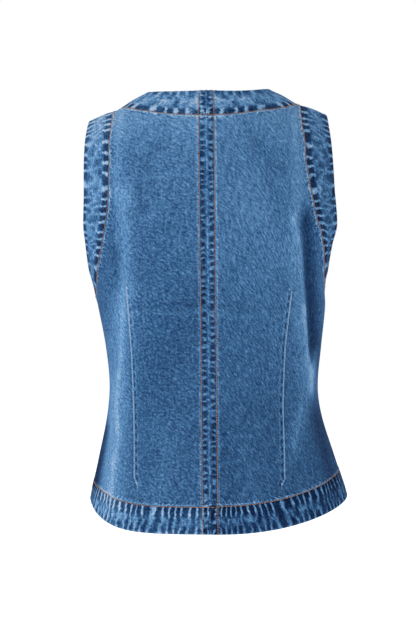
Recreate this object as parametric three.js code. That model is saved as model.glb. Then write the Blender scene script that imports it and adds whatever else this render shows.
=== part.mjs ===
// A sleeveless denim vest, filled out as if worn, and hollow. Millimetres, +Z up.
// The front faces -Y and the wearer's left is +X. The origin lies midway between the
// shoulders, at the height of the shoulder seams, where the wearer carries the vest.
//
// The cloth follows one body surface. A place on it is an angle, 0 at the centre and a
// quarter turn at the side seam, and a run: the way down the cloth from the shoulder ridge.
// Each panel is a main field with a neck strip and an armhole strip, and the facings behind
// those strips share the panel's own points, moved inwards.
import * as THREE from 'three';
import { mergeVertices } from 'three/addons/utils/BufferGeometryUtils.js';

// Walls and seams
const CLOTH = 1.2;
const FACING = 1.0;
const GAP = 0.3;

// Neck and shoulders
const NECK_HALF_WIDTH = 83;
const NECK_POINT_HEIGHT = 15.5;
const BACK_NECK_HEIGHT = 8;
const BACK_NECK_CURVE = 3.2;
const SHOULDER_HALF_WIDTH = 176.5;
const SHOULDER_SLOPE = 0.477;
const SHOULDER_TILT = 0.0275;
const SHOULDER_ROUNDING = 25;
const SHOULDER_ROLL = 75;
const SHOULDER_DIP = 3.4;
const SHOULDER_DIP_PLACE = 123;
const SHOULDER_DIP_REACH = 14;

// Armholes
const ARMHOLE_TIP_ANGLE = 65;
const ARMHOLE_BACK_ANGLE = 65;
const ARMHOLE_FRONT_ANGLE = 60;
const ARMHOLE_WIDEST_HEIGHT = -120;
const UNDERARM_HEIGHT = -235;

// Front edges and buttons
const OVERLAP = 15;
const NECK_V_HEIGHT = -195;
const NECK_V_CURVE = 1.25;
const TUCK_DEPTH = 3.6;
const TUCK_FLAT = 20;
const TUCK_BLEND = 34;
const BUTTON_COUNT = 5;
const BUTTON_TOP_HEIGHT = -214;
const BUTTON_PITCH = 80;
const BUTTON_RADIUS = 8.5;
const BUTTON_SHANK_RADIUS = 3.2;
const BUTTON_SHANK = 1.6;
const BUTTON_HEAD = 2.6;
const BUTTON_BEVEL = 0.8;
const BUTTON_DOME_INSET = 1.2;
const BUTTON_DOME_DROP = 0.3;
const BUTTON_SEGMENTS = 18;

// Hem and centre-back seam
const HEM_HEIGHT = -579.3;
const HEM_RISE_LEFT = 32;
const HEM_CURVE_LEFT = 6.2;
const HEM_RISE_RIGHT = 37.3;
const HEM_CURVE_RIGHT = 2.1;
const SEAM_TOP_OFFSET = 2.6;
const SEAM_LEAN = 0.0097;

// Widths of the doubled bands
const NECK_BAND = 39;
const FRONT_BAND = 38;
const ARMHOLE_BAND = 39;
const HEM_BAND = 38;

// Steps of the mesh
const NECK_STEPS = 14;
const RIDGE_STEPS = 2;
const FRONT_STEPS = 11;
const BAND_STEPS = 2;
const SIDE_ROWS = 16;
const ARMHOLE_ROWS = 20;
const FRONT_EDGE_ROWS = 6;
const ROW_TURN_HEIGHT = -330;
const CURVE_SAMPLES = 60;
const RELAX_PASSES = 300;
const SHORT_DIAGONAL = 0.8;
const WELDS_PER_MILLIMETRE = 100;

// Steps of the searches and of the differences taken on the surface
const ANGLE_HALVINGS = 40;
const TURN_STEP = 0.001;
const DROP_STEP = 0.1;
const INSET_STEPS = 6;
const RIDGE_STEP = 0.002;

// Level sections of the body: height, sideways shift of the middle, half width, and the
// depth of the back and of the front from the side seams.
const SQUARENESS = 0.035;
const SECTIONS = [
  { height: -600, shift: -15.5, half: 182, back: 124, front: 119 },
  { height: -542, shift: -15.1, half: 176.6, back: 121, front: 117 },
  { height: -489, shift: -12.3, half: 163, back: 113, front: 111 },
  { height: -433, shift: -9, half: 148.5, back: 102, front: 103 },
  { height: -392, shift: -8, half: 143.6, back: 96, front: 100 },
  { height: -336, shift: -7.6, half: 148.8, back: 96, front: 105 },
  { height: -281, shift: -5, half: 156.8, back: 103, front: 116 },
  { height: -253, shift: -1.6, half: 159.5, back: 106, front: 121 },
  { height: -226, shift: -0.6, half: 166, back: 109, front: 124 },
  { height: -198, shift: -1.2, half: 174, back: 111, front: 124 },
  { height: -170, shift: -3, half: 182, back: 112, front: 121 },
  { height: -115, shift: -1.4, half: 182, back: 110, front: 108 },
  { height: -60, shift: 0, half: 180, back: 101, front: 88 },
  { height: -20, shift: 0, half: 176.5, back: 85, front: 72 },
  { height: 30, shift: 0, half: 176.5, back: 66, front: 54 },
];

// The largest soft folds. Ends are given by sideways place and height; reach is the half
// width of the fold, and lift is positive for a ridge and negative for a trough. Folds fade
// out over the calm strip along the side and shoulder seams.
const SEAM_CALM = 30;
const FOLDS = [
  { face: 'back', x1: -130, z1: -172, x2: -143, z2: -335, reach: 12, lift: -5 },
  { face: 'back', x1: -118, z1: -168, x2: -133, z2: -385, reach: 11, lift: 3 },
  { face: 'back', x1: -124, z1: -418, x2: -114, z2: -465, reach: 12, lift: 2.5 },
  { face: 'back', x1: -150, z1: -432, x2: -168, z2: -505, reach: 12, lift: -3.5 },
  { face: 'back', x1: 126, z1: -160, x2: 122, z2: -242, reach: 11, lift: -4.5 },
  { face: 'back', x1: 108, z1: -140, x2: 110, z2: -255, reach: 11, lift: 3 },
  { face: 'back', x1: 121, z1: -400, x2: 130, z2: -520, reach: 13, lift: 3.5 },
  { face: 'back', x1: 138, z1: -455, x2: 150, z2: -520, reach: 12, lift: -3.5 },
  { face: 'front', x1: -120, z1: -190, x2: -128, z2: -320, reach: 12, lift: -4 },
  { face: 'front', x1: 112, z1: -200, x2: 124, z2: -330, reach: 12, lift: -4.5 },
  { face: 'front', x1: 128, z1: -430, x2: 146, z2: -515, reach: 13, lift: 3 },
  { face: 'front', x1: -120, z1: -440, x2: -140, z2: -510, reach: 13, lift: -3 },
];

const QUARTER = Math.PI / 2;
const ROLL_RUN = SHOULDER_ROLL * QUARTER;
const radians = THREE.MathUtils.degToRad;

// Value of one column of the sections at a height, by a smooth curve through the rows.
function sectionValue(column, height) {
  const last = SECTIONS.length - 1;
  let row = 0;
  while (row < last - 1 && SECTIONS[row + 1].height < height) row += 1;
  const slopeAt = (index) => {
    const below = SECTIONS[Math.max(index - 1, 0)];
    const above = SECTIONS[Math.min(index + 1, last)];
    return (above[column] - below[column]) / (above.height - below.height);
  };
  const low = SECTIONS[row];
  const high = SECTIONS[row + 1];
  const span = high.height - low.height;
  const t = THREE.MathUtils.clamp((height - low.height) / span, 0, 1);
  const rise = t * t * (3 - 2 * t);
  const lowSlope = slopeAt(row) * span * t * (1 - t) * (1 - t);
  const highSlope = slopeAt(row + 1) * span * t * t * (t - 1);
  return low[column] + (high[column] - low[column]) * rise + lowSlope + highSlope;
}

// Outline of a level section, sideways and in depth, each from 0 to 1.
function sideways(angle) {
  return (Math.sin(angle) + SQUARENESS * Math.sin(3 * angle)) / (1 - SQUARENESS);
}

function depthwards(angle) {
  return (Math.cos(angle) - SQUARENESS * Math.cos(3 * angle)) / (1 - SQUARENESS);
}

// Angle at which a section has a sideways fraction of its half width.
function angleOf(fraction) {
  let low = -QUARTER;
  let high = QUARTER;
  for (let step = 0; step < ANGLE_HALVINGS; step += 1) {
    const middle = (low + high) / 2;
    if (sideways(middle) < fraction) low = middle;
    else high = middle;
  }
  return (low + high) / 2;
}

function angleAt(side, x, height) {
  return angleOf(side * (x - sectionValue('shift', height)) / sectionValue('half', height));
}

// Height of the shoulder ridge above an angle; inside the neck it is carried on smoothly.
function ridgeHeight(side, angle) {
  const x = side * SHOULDER_HALF_WIDTH * sideways(angle);
  const fall = Math.hypot(x, SHOULDER_ROUNDING) - Math.hypot(NECK_HALF_WIDTH, SHOULDER_ROUNDING);
  const dip = SHOULDER_DIP * Math.exp(-(((Math.abs(x) - SHOULDER_DIP_PLACE) / SHOULDER_DIP_REACH) ** 2));
  return NECK_POINT_HEIGHT - SHOULDER_SLOPE * fall - SHOULDER_TILT * x - dip;
}

// The shoulder rolls over a quarter circle, and the cloth hangs straight below it.
function heightAt(side, angle, run) {
  const bend = Math.min(Math.abs(run), ROLL_RUN);
  const fall = SHOULDER_ROLL * (1 - Math.cos(bend / SHOULDER_ROLL)) + Math.abs(run) - bend;
  return ridgeHeight(side, angle) - fall;
}

function runAt(side, angle, height) {
  const fall = Math.max(ridgeHeight(side, angle) - height, 0);
  if (fall > SHOULDER_ROLL) return fall - SHOULDER_ROLL + ROLL_RUN;
  return SHOULDER_ROLL * Math.acos(1 - fall / SHOULDER_ROLL);
}

// The smooth body surface, before folds. Facing is 1 for the back and -1 for the front.
function bodyPoint({ side, face }, angle, run) {
  const facing = face === 'back' ? 1 : -1;
  const height = heightAt(side, angle, run);
  const roll = Math.sin(THREE.MathUtils.clamp(run, -ROLL_RUN, ROLL_RUN) / SHOULDER_ROLL);
  return new THREE.Vector3(
    sectionValue('shift', height) + side * sectionValue('half', height) * sideways(angle),
    facing * sectionValue(face, height) * depthwards(angle) * roll,
    height,
  );
}

function bodyFrame(panel, angle, run) {
  const ahead = bodyPoint(panel, angle + TURN_STEP, run);
  const across = ahead.sub(bodyPoint(panel, angle - TURN_STEP, run));
  const below = bodyPoint(panel, angle, run + DROP_STEP);
  const down = below.sub(bodyPoint(panel, angle, run - DROP_STEP));
  across.divideScalar(2 * TURN_STEP);
  down.divideScalar(2 * DROP_STEP);
  const facing = panel.face === 'back' ? 1 : -1;
  const normal = across.clone().cross(down).normalize().multiplyScalar(panel.side * facing);
  return { across, down, normal };
}

// Outward lift of the folds at a place. It fades over each fold's reach, at the fold's ends
// and towards the side and shoulder seams, where back and front meet.
function foldLift({ side, face }, point) {
  let lift = 0;
  for (const fold of FOLDS) {
    if (fold.face !== face || Math.sign(fold.x1) !== side) continue;
    const length = Math.hypot(fold.x2 - fold.x1, fold.z2 - fold.z1);
    const ux = (fold.x2 - fold.x1) / length;
    const uz = (fold.z2 - fold.z1) / length;
    const alongFold = (point.x - fold.x1) * ux + (point.z - fold.z1) * uz;
    const acrossFold = (point.x - fold.x1) * uz - (point.z - fold.z1) * ux;
    const beyond = Math.max(-alongFold, alongFold - length, 0);
    const distance = Math.hypot(acrossFold / fold.reach, beyond / (2 * fold.reach));
    lift += fold.lift * Math.exp(-distance * distance);
  }
  return lift * THREE.MathUtils.smoothstep(Math.abs(point.y), 0, SEAM_CALM);
}

// The left front lies under the right one, so it steps inwards near the centre.
function tuckDepth({ side, face }, point) {
  if (face !== 'front' || side < 0) return 0;
  const distance = point.x - sectionValue('shift', point.z);
  return TUCK_DEPTH * (1 - THREE.MathUtils.smoothstep(distance, TUCK_FLAT, TUCK_FLAT + TUCK_BLEND));
}

// A point of the cloth's outer face, set back from the side and shoulder seams by a part of
// the seam gap, with the outward normal along which walls and facings are measured.
function clothPoint(panel, [angle, run], seamGap) {
  const point = bodyPoint(panel, angle, run);
  const { normal } = bodyFrame(panel, angle, run);
  const lift = foldLift(panel, point) - tuckDepth(panel, point);
  point.addScaledVector(normal, lift);
  point.y += (panel.face === 'back' ? 1 : -1) * seamGap / 2;
  return { point, normal };
}

// Curves are lists of places. This one spaces a curve anew at given lengths of cloth.
function respace(panel, curve, stops) {
  const lengths = [0];
  for (let index = 1; index < curve.length; index += 1) {
    const from = bodyPoint(panel, ...curve[index - 1]);
    lengths.push(lengths[index - 1] + from.distanceTo(bodyPoint(panel, ...curve[index])));
  }
  const total = lengths[lengths.length - 1];
  let index = 1;
  return stops(total).map((stop) => {
    while (index < lengths.length - 1 && lengths[index] < stop) index += 1;
    const part = (stop - lengths[index - 1]) / (lengths[index] - lengths[index - 1]);
    return mix(curve[index - 1], curve[index], Math.min(part, 1));
  });
}

function mix(first, second, part) {
  return first.map((value, index) => value + (second[index] - value) * part);
}

function evenStops(count, from = 0) {
  return (total) => Array.from({ length: count + 1 }, (_, i) => from + (total - from) * i / count);
}

function hemmedStops(count) {
  return (total) => [0, HEM_BAND / 2, ...evenStops(count - 2, HEM_BAND)(total)];
}

function sampled(count, place) {
  return Array.from({ length: count + 1 }, (_, index) => place(index / count));
}

// A curve moved into the cloth by a width. Sense is 1 where the cloth lies on the side of
// growing angles as the curve climbs, and -1 where it lies on the other side. The ends are
// then put on the places given, and the change fades along the curve.
function inset(panel, curve, width, sense, start, end) {
  const handed = sense * panel.side * (panel.face === 'back' ? 1 : -1);
  const moved = curve.map((place, index) => {
    const before = bodyPoint(panel, ...curve[Math.max(index - 1, 0)]);
    const after = bodyPoint(panel, ...curve[Math.min(index + 1, curve.length - 1)]);
    const tangent = after.sub(before).normalize();
    let [angle, run] = place;
    const inward = bodyFrame(panel, angle, run).normal.cross(tangent).multiplyScalar(handed);
    for (let step = 0; step < INSET_STEPS; step += 1) {
      const { across, down, normal } = bodyFrame(panel, angle, run);
      inward.projectOnPlane(normal).normalize();
      const aa = across.dot(across);
      const ad = across.dot(down);
      const dd = down.dot(down);
      const ia = inward.dot(across);
      const id = inward.dot(down);
      const area = aa * dd - ad * ad;
      angle += (ia * dd - id * ad) / area * width / INSET_STEPS;
      run += (id * aa - ia * ad) / area * width / INSET_STEPS;
    }
    return [angle, run];
  });
  const last = moved.length - 1;
  const startMiss = (start ?? moved[0]).map((value, index) => value - moved[0][index]);
  const endMiss = end.map((value, index) => value - moved[last][index]);
  return moved.map((place, index) => {
    const miss = mix(startMiss, endMiss, index / last);
    return place.map((value, axis) => value + miss[axis]);
  });
}

// A grid of places blended between its four edges, rows from the bottom to the top.
function blendGrid(bottom, top, left, right) {
  const columns = bottom.length - 1;
  const rows = left.length - 1;
  return left.map((_, row) => bottom.map((__, column) => {
    const s = column / columns;
    const t = row / rows;
    const upright = mix(bottom[column], top[column], t);
    const level = mix(left[row], right[row], s);
    const corners = mix(mix(bottom[0], bottom[columns], s), mix(top[0], top[columns], s), t);
    return upright.map((value, axis) => value + level[axis] - corners[axis]);
  }));
}

// Evens out a blended grid. Its edges and the hem band's rows keep their places.
function relax(grid) {
  for (let pass = 0; pass < RELAX_PASSES; pass += 1) {
    for (let row = BAND_STEPS + 1; row < grid.length - 1; row += 1) {
      for (let column = 1; column < grid[row].length - 1; column += 1) {
        const level = mix(grid[row][column - 1], grid[row][column + 1], 0.5);
        const upright = mix(grid[row - 1][column], grid[row + 1][column], 0.5);
        grid[row][column] = mix(level, upright, 0.5);
      }
    }
  }
  return grid;
}

// A grid of places between two curves: the first row or column is the first curve.
function ruledGrid(first, second) {
  return first.map((place, row) => sampled(BAND_STEPS, (part) => mix(place, second[row], part)));
}

function ridgeRun(panel, fromAngle, width) {
  const direction = Math.sign(width);
  let angle = fromAngle;
  let length = 0;
  while (length < Math.abs(width)) {
    const next = angle + direction * RIDGE_STEP;
    length += bodyPoint(panel, angle, 0).distanceTo(bodyPoint(panel, next, 0));
    angle = next;
  }
  return angle;
}

const TIP = [radians(ARMHOLE_TIP_ANGLE), 0];
const NECK_POINT = [angleOf(NECK_HALF_WIDTH / SHOULDER_HALF_WIDTH), 0];

// The hem hangs level at the centre and climbs towards each side seam.
function hemPlace(side, angle) {
  const rise = side > 0 ? HEM_RISE_LEFT : HEM_RISE_RIGHT;
  const curve = side > 0 ? HEM_CURVE_LEFT : HEM_CURVE_RIGHT;
  const height = HEM_HEIGHT + rise * Math.abs(sideways(angle)) ** curve;
  return [angle, runAt(side, angle, height)];
}

// Armhole edge from the underarm, round and up to the shoulder tip.
function armholeEdge(panel) {
  const { side, face } = panel;
  const middle = radians(face === 'back' ? ARMHOLE_BACK_ANGLE : ARMHOLE_FRONT_ANGLE);
  const round = sampled(CURVE_SAMPLES, (part) => {
    const swing = part * QUARTER;
    const angle = QUARTER - (QUARTER - middle) * Math.sin(swing);
    const rise = (ARMHOLE_WIDEST_HEIGHT - UNDERARM_HEIGHT) * (1 - Math.cos(swing));
    return [angle, runAt(side, angle, UNDERARM_HEIGHT + rise)];
  });
  const [, widestRun] = round[round.length - 1];
  const up = sampled(CURVE_SAMPLES, (part) => {
    const angle = middle + (TIP[0] - middle) * THREE.MathUtils.smoothstep(part, 0, 1);
    return [angle, widestRun * (1 - part)];
  });
  return [...round, ...up.slice(1)];
}

// Centre-back seam between two heights, half the seam gap to the panel's side.
function backSeam({ side }, fromHeight, toHeight, seamGap) {
  return sampled(CURVE_SAMPLES, (part) => {
    const height = fromHeight + (toHeight - fromHeight) * part;
    const seam = SEAM_TOP_OFFSET + SEAM_LEAN * (height - BACK_NECK_HEIGHT);
    const angle = angleAt(side, seam + side * seamGap / 2, height);
    return [angle, runAt(side, angle, height)];
  });
}

// Back neck edge from the centre-back seam to the neck point on the shoulder ridge.
function backNeckEdge(panel, seamGap) {
  const { side } = panel;
  const [[start]] = backSeam(panel, BACK_NECK_HEIGHT, BACK_NECK_HEIGHT, seamGap);
  const startWidth = sideways(start) * SHOULDER_HALF_WIDTH;
  const neckPoint = ridgeHeight(side, NECK_POINT[0]);
  return sampled(CURVE_SAMPLES, (part) => {
    const width = startWidth + (NECK_HALF_WIDTH - startWidth) * Math.sin(part * QUARTER);
    const angle = angleOf(width / SHOULDER_HALF_WIDTH);
    const rise = Math.abs(width / NECK_HALF_WIDTH) ** BACK_NECK_CURVE;
    const height = BACK_NECK_HEIGHT + (neckPoint - BACK_NECK_HEIGHT) * rise;
    return [angle, runAt(side, angle, height)];
  });
}

// Front edge from the hem up to a height, past the centre by the overlap.
function frontEdge(panel, fromHeight, toHeight) {
  return sampled(CURVE_SAMPLES, (part) => {
    const height = fromHeight + (toHeight - fromHeight) * part;
    const angle = angleOf(-OVERLAP / sectionValue('half', height));
    return [angle, runAt(panel.side, angle, height)];
  });
}

// Front neck edge from the head of the front edge to the neck point.
function frontNeckEdge(panel) {
  const top = ridgeHeight(panel.side, NECK_POINT[0]);
  return sampled(CURVE_SAMPLES, (part) => {
    const fall = (1 - part) ** 2;
    const height = top + (NECK_V_HEIGHT - top) * fall;
    const width = NECK_HALF_WIDTH - (NECK_HALF_WIDTH + OVERLAP) * fall ** NECK_V_CURVE;
    const angle = angleOf(width / sectionValue('half', height));
    return [angle, runAt(panel.side, angle, height)];
  });
}

// Height on the centre-back seam at which the neck strip ends, the same for both sides.
function neckBandFoot() {
  const panel = { face: 'back', side: 1 };
  const edge = backNeckEdge(panel, 0);
  const [[angle, run]] = inset(panel, edge, NECK_BAND, 1, null, NECK_POINT);
  return heightAt(panel.side, angle, run);
}

// The grids of places of a back panel: main field, neck strip and armhole strip.
function backGrids(panel, seamGap) {
  const { tip, arm, right } = sideParts(panel);
  const edge = respace(panel, backNeckEdge(panel, seamGap), evenStops(NECK_STEPS));
  const ridgeEnd = [ridgeRun(panel, NECK_POINT[0], NECK_BAND), 0];
  const footHeight = neckBandFoot();
  const seam = (from, to) => backSeam(panel, from, to, seamGap);
  const lower = respace(panel, seam(HEM_HEIGHT, ROW_TURN_HEIGHT), hemmedStops(SIDE_ROWS));
  const upper = respace(panel, seam(ROW_TURN_HEIGHT, footHeight), evenStops(ARMHOLE_ROWS));
  const left = [...lower, ...upper.slice(1)];
  const band = inset(panel, edge, NECK_BAND, 1, left[left.length - 1], ridgeEnd);
  const ridge = sampled(RIDGE_STEPS, (part) => mix(ridgeEnd, tip, part));
  const top = [...band, ...ridge.slice(1)];
  const bottom = hemPlaces(panel, left[0][0], top.length - 1);
  return { main: relax(blendGrid(bottom, top, left, right)), neck: ruledGrid(edge, band), arm };
}

// The same of a front panel, whose neck strip runs on down the front edge to the hem.
function frontGrids(panel) {
  const { tip, arm, right } = sideParts(panel);
  const straight = (from, to) => frontEdge(panel, from, to);
  const lower = respace(panel, straight(HEM_HEIGHT, ROW_TURN_HEIGHT), hemmedStops(SIDE_ROWS));
  const upper = straight(ROW_TURN_HEIGHT, NECK_V_HEIGHT);
  const neckRows = ARMHOLE_ROWS - FRONT_EDGE_ROWS;
  const edge = [
    ...lower,
    ...respace(panel, upper, evenStops(FRONT_EDGE_ROWS)).slice(1),
    ...respace(panel, frontNeckEdge(panel), evenStops(neckRows)).slice(1),
  ];
  const ridgeEnd = [ridgeRun(panel, NECK_POINT[0], NECK_BAND), 0];
  const [footAngle] = inset(panel, edge, FRONT_BAND, 1, null, ridgeEnd)[0];
  const band = inset(panel, edge, FRONT_BAND, 1, hemPlace(panel.side, footAngle), ridgeEnd);
  const top = sampled(FRONT_STEPS, (part) => mix(ridgeEnd, tip, part));
  const bottom = hemPlaces(panel, footAngle, FRONT_STEPS);
  return { main: blendGrid(bottom, top, band, right), neck: ruledGrid(edge, band), arm };
}

// What both kinds of panel share: the armhole strip, and the side edge of the main field,
// which follows the side seam up to that strip and then the strip up to the shoulder.
function sideParts(panel) {
  const tip = [ridgeRun(panel, TIP[0], -ARMHOLE_BAND), 0];
  const under = [QUARTER, runAt(panel.side, QUARTER, UNDERARM_HEIGHT - ARMHOLE_BAND)];
  const edge = respace(panel, armholeEdge(panel), evenStops(ARMHOLE_ROWS));
  const band = inset(panel, edge, ARMHOLE_BAND, -1, under, tip);
  const seam = respace(panel, [hemPlace(panel.side, QUARTER), under], hemmedStops(SIDE_ROWS));
  return { tip, arm: ruledGrid(edge, band), right: [...seam, ...band.slice(1)] };
}

function hemPlaces(panel, fromAngle, count) {
  const curve = sampled(CURVE_SAMPLES, (part) => {
    return hemPlace(panel.side, fromAngle + (QUARTER - fromAngle) * part);
  });
  return respace(panel, curve, evenStops(count));
}

function gridsOf(panel, seamGap) {
  return panel.face === 'back' ? backGrids(panel, seamGap) : frontGrids(panel);
}

// A closed wall of cloth between two depths under the outer face of some pieces, which are
// grids of places on their panels. Shared points are welded, skewed quads are parted along
// their short diagonal, and open edges get a rim.
function wall(pieces, outerDepth, innerDepth) {
  const outer = [];
  const inner = [];
  const known = new Map();
  const vertex = ({ point, normal }) => {
    const key = point.toArray().map((value) => Math.round(value * WELDS_PER_MILLIMETRE)).join();
    if (!known.has(key)) {
      known.set(key, outer.length);
      outer.push(point.clone().addScaledVector(normal, -outerDepth));
      inner.push(point.clone().addScaledVector(normal, -innerDepth));
    }
    return known.get(key);
  };
  const triangles = [];
  for (const { panel, places, seamGap } of pieces) {
    const grid = places.map((row) => row.map((place) => clothPoint(panel, place, seamGap)));
    for (let row = 0; row < grid.length - 1; row += 1) {
      for (let column = 0; column < grid[row].length - 1; column += 1) {
        const corners = [grid[row][column], grid[row][column + 1]];
        corners.push(grid[row + 1][column + 1], grid[row + 1][column]);
        const [a, b, c, d] = corners.map(({ point }) => point);
        const turn = c.clone().sub(a).cross(d.clone().sub(b));
        const skewed = b.distanceTo(d) < SHORT_DIAGONAL * a.distanceTo(c);
        if (turn.dot(corners[0].normal) < 0) corners.reverse();
        const [i, j, k, l] = corners.map(vertex);
        if (skewed) triangles.push([i, j, l], [j, k, l]);
        else triangles.push([i, j, k], [i, k, l]);
      }
    }
  }
  return closeWall(outer, inner, triangles);
}

// Joins an outer face and its inner copy with a rim along each edge that one triangle has.
function closeWall(outer, inner, triangles) {
  const solid = triangles.filter(([i, j, k]) => i !== j && j !== k && k !== i);
  const edges = new Set();
  for (const [i, j, k] of solid) edges.add(`${i},${j}`).add(`${j},${k}`).add(`${k},${i}`);
  const faces = [...solid];
  const count = outer.length;
  for (const [i, j, k] of solid) {
    faces.push([i + count, k + count, j + count]);
    for (const [from, to] of [[i, j], [j, k], [k, i]]) {
      if (edges.has(`${to},${from}`)) continue;
      faces.push([to, from, from + count], [to, from + count, to + count]);
    }
  }
  const geometry = new THREE.BufferGeometry();
  geometry.setFromPoints([...outer, ...inner]);
  geometry.setIndex(faces.flat());
  geometry.computeVertexNormals();
  return geometry;
}

const BACK_LEFT = { face: 'back', side: 1 };
const BACK_RIGHT = { face: 'back', side: -1 };
const FRONT_LEFT = { face: 'front', side: 1 };
const FRONT_RIGHT = { face: 'front', side: -1 };
const PANELS = [BACK_LEFT, BACK_RIGHT, FRONT_LEFT, FRONT_RIGHT];

const denim = new THREE.MeshStandardMaterial({ color: 0x4f80b0, roughness: 0.9, metalness: 0 });
const bandDenim = new THREE.MeshStandardMaterial({ color: 0x44709e, roughness: 0.9, metalness: 0 });
const brass = new THREE.MeshStandardMaterial({ color: 0xa8875a, roughness: 0.4, metalness: 1 });

const vest = new THREE.Group();

function addMesh(name, geometry, material) {
  const mesh = new THREE.Mesh(geometry, material);
  mesh.name = name;
  vest.add(mesh);
  return mesh;
}

function nameOf({ face, side }) {
  return `${face}_${side > 0 ? 'left' : 'right'}`;
}

const seamless = new Map();
for (const panel of PANELS) {
  const parted = gridsOf(panel, GAP);
  const pieces = Object.values(parted).map((places) => ({ panel, places, seamGap: GAP }));
  addMesh(nameOf(panel), wall(pieces, 0, CLOTH), denim);
  seamless.set(panel, gridsOf(panel, 0));
}

function strip(panel, name) {
  return { panel, places: seamless.get(panel)[name], seamGap: 0 };
}

// The hem facing uses the lowest rows of each main field, parted from the front facings.
function hemStrip(panel) {
  const rows = seamless.get(panel).main.slice(0, BAND_STEPS + 1);
  if (panel.face === 'back') return { panel, places: rows, seamGap: 0 };
  const places = rows.map(([first, ...rest]) => {
    const across = bodyFrame(panel, ...first).across.length();
    return [[first[0] + GAP / across, first[1]], ...rest];
  });
  return { panel, places, seamGap: 0 };
}

function addFacing(name, pieces) {
  const depth = CLOTH + GAP;
  addMesh(name, wall(pieces, depth, depth + FACING), bandDenim);
}

addFacing('neck_facing', [strip(BACK_LEFT, 'neck'), strip(BACK_RIGHT, 'neck')]);
addFacing('front_facing_left', [strip(FRONT_LEFT, 'neck')]);
addFacing('front_facing_right', [strip(FRONT_RIGHT, 'neck')]);
addFacing('armhole_facing_left', [strip(BACK_LEFT, 'arm'), strip(FRONT_LEFT, 'arm')]);
addFacing('armhole_facing_right', [strip(BACK_RIGHT, 'arm'), strip(FRONT_RIGHT, 'arm')]);
addFacing('hem_facing', PANELS.map(hemStrip));

// A plain metal button: a shank that stands just off the cloth, and a domed head.
function buttonGeometry() {
  const rim = BUTTON_SHANK + BUTTON_HEAD / 2;
  const top = BUTTON_SHANK + BUTTON_HEAD;
  const profile = [
    [0, 0],
    [BUTTON_SHANK_RADIUS, 0],
    [BUTTON_SHANK_RADIUS, BUTTON_SHANK],
    [BUTTON_RADIUS - BUTTON_BEVEL, BUTTON_SHANK],
    [BUTTON_RADIUS, rim],
    [BUTTON_RADIUS - BUTTON_DOME_INSET, top - BUTTON_DOME_DROP],
    [0, top],
  ];
  const line = profile.map(([radius, height]) => new THREE.Vector2(radius, height));
  const lathe = new THREE.LatheGeometry(line, BUTTON_SEGMENTS);
  lathe.deleteAttribute('normal');
  lathe.deleteAttribute('uv');
  return mergeVertices(lathe);
}

const buttonShape = buttonGeometry();
for (let index = 0; index < BUTTON_COUNT; index += 1) {
  const height = BUTTON_TOP_HEIGHT - index * BUTTON_PITCH;
  const run = runAt(FRONT_RIGHT.side, 0, height);
  const { point, normal } = clothPoint(FRONT_RIGHT, [0, run], GAP);
  const button = addMesh(`button_${index + 1}`, buttonShape.clone(), brass);
  button.position.copy(point).addScaledVector(normal, GAP);
  button.quaternion.setFromUnitVectors(new THREE.Vector3(0, 1, 0), normal);
}

export default vest;
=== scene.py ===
"""A sleeveless denim vest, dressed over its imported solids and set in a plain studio.

The cloth follows one body surface, worked out in millimetres from the same named values as
the solids. A place on it is an angle, 0 at the centre and a quarter turn at the side seam,
and a run, the way down the cloth from the shoulder ridge. Meshes are written in metres.
"""

import logging
import math
from dataclasses import dataclass, field, replace
from enum import Enum

import bpy
import numpy as np
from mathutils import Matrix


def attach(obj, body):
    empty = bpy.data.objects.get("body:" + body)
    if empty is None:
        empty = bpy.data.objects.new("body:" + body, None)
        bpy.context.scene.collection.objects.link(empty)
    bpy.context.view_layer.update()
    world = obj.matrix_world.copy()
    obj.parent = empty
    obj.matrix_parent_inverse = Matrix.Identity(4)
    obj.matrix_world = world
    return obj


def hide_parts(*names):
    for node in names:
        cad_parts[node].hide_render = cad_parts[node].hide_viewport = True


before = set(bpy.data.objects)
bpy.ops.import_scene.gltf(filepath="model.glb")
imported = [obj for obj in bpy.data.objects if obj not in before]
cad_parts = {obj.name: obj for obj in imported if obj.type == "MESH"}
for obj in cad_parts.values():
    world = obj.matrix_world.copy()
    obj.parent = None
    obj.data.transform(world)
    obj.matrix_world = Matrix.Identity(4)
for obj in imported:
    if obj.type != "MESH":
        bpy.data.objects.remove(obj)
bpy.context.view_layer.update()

log = logging.getLogger("vest")

MILLIMETRE = 0.001
RIM_BULGE = 0.35
BLOCK_FINENESS, SEAM_FINENESS = 50, 20
LEAST_CALM = 0.3
FAR_FROM_SEAM = 1000.0
COLUMN_SHIFT = 0.4
FRONT_TO_BACK = 400.0
QUARTER = math.pi / 2
# Every sewn line, by the name under which its wear is kept.
LINES = ("neck", "arm", "hem", "seam", "dart")
Array = np.ndarray
Places = np.ndarray
Points = np.ndarray
Grids = dict[str, Places]
Known = dict[str, tuple[Array, Array]]
Scale = tuple[tuple[float, tuple[float, float, float]], ...]
Socket = bpy.types.NodeSocket


class Face(Enum):
    """Which half of the vest a panel belongs to; the value is its direction along Y."""

    BACK = 1
    FRONT = -1


class Side(Enum):
    """The wearer's side; the value is its direction along X."""

    LEFT = 1
    RIGHT = -1


@dataclass(frozen=True)
class Panel:
    """One of the four panels of the vest."""

    face: Face
    side: Side

    @property
    def name(self) -> str:
        """Name of the panel's solid."""
        return f"{self.face.name.lower()}_{self.side.name.lower()}"


BACK_LEFT = Panel(Face.BACK, Side.LEFT)
BACK_RIGHT = Panel(Face.BACK, Side.RIGHT)
FRONT_LEFT = Panel(Face.FRONT, Side.LEFT)
FRONT_RIGHT = Panel(Face.FRONT, Side.RIGHT)
PANELS = (BACK_LEFT, BACK_RIGHT, FRONT_LEFT, FRONT_RIGHT)
Parts = list[tuple[Panel, list[Places]]]


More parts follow.
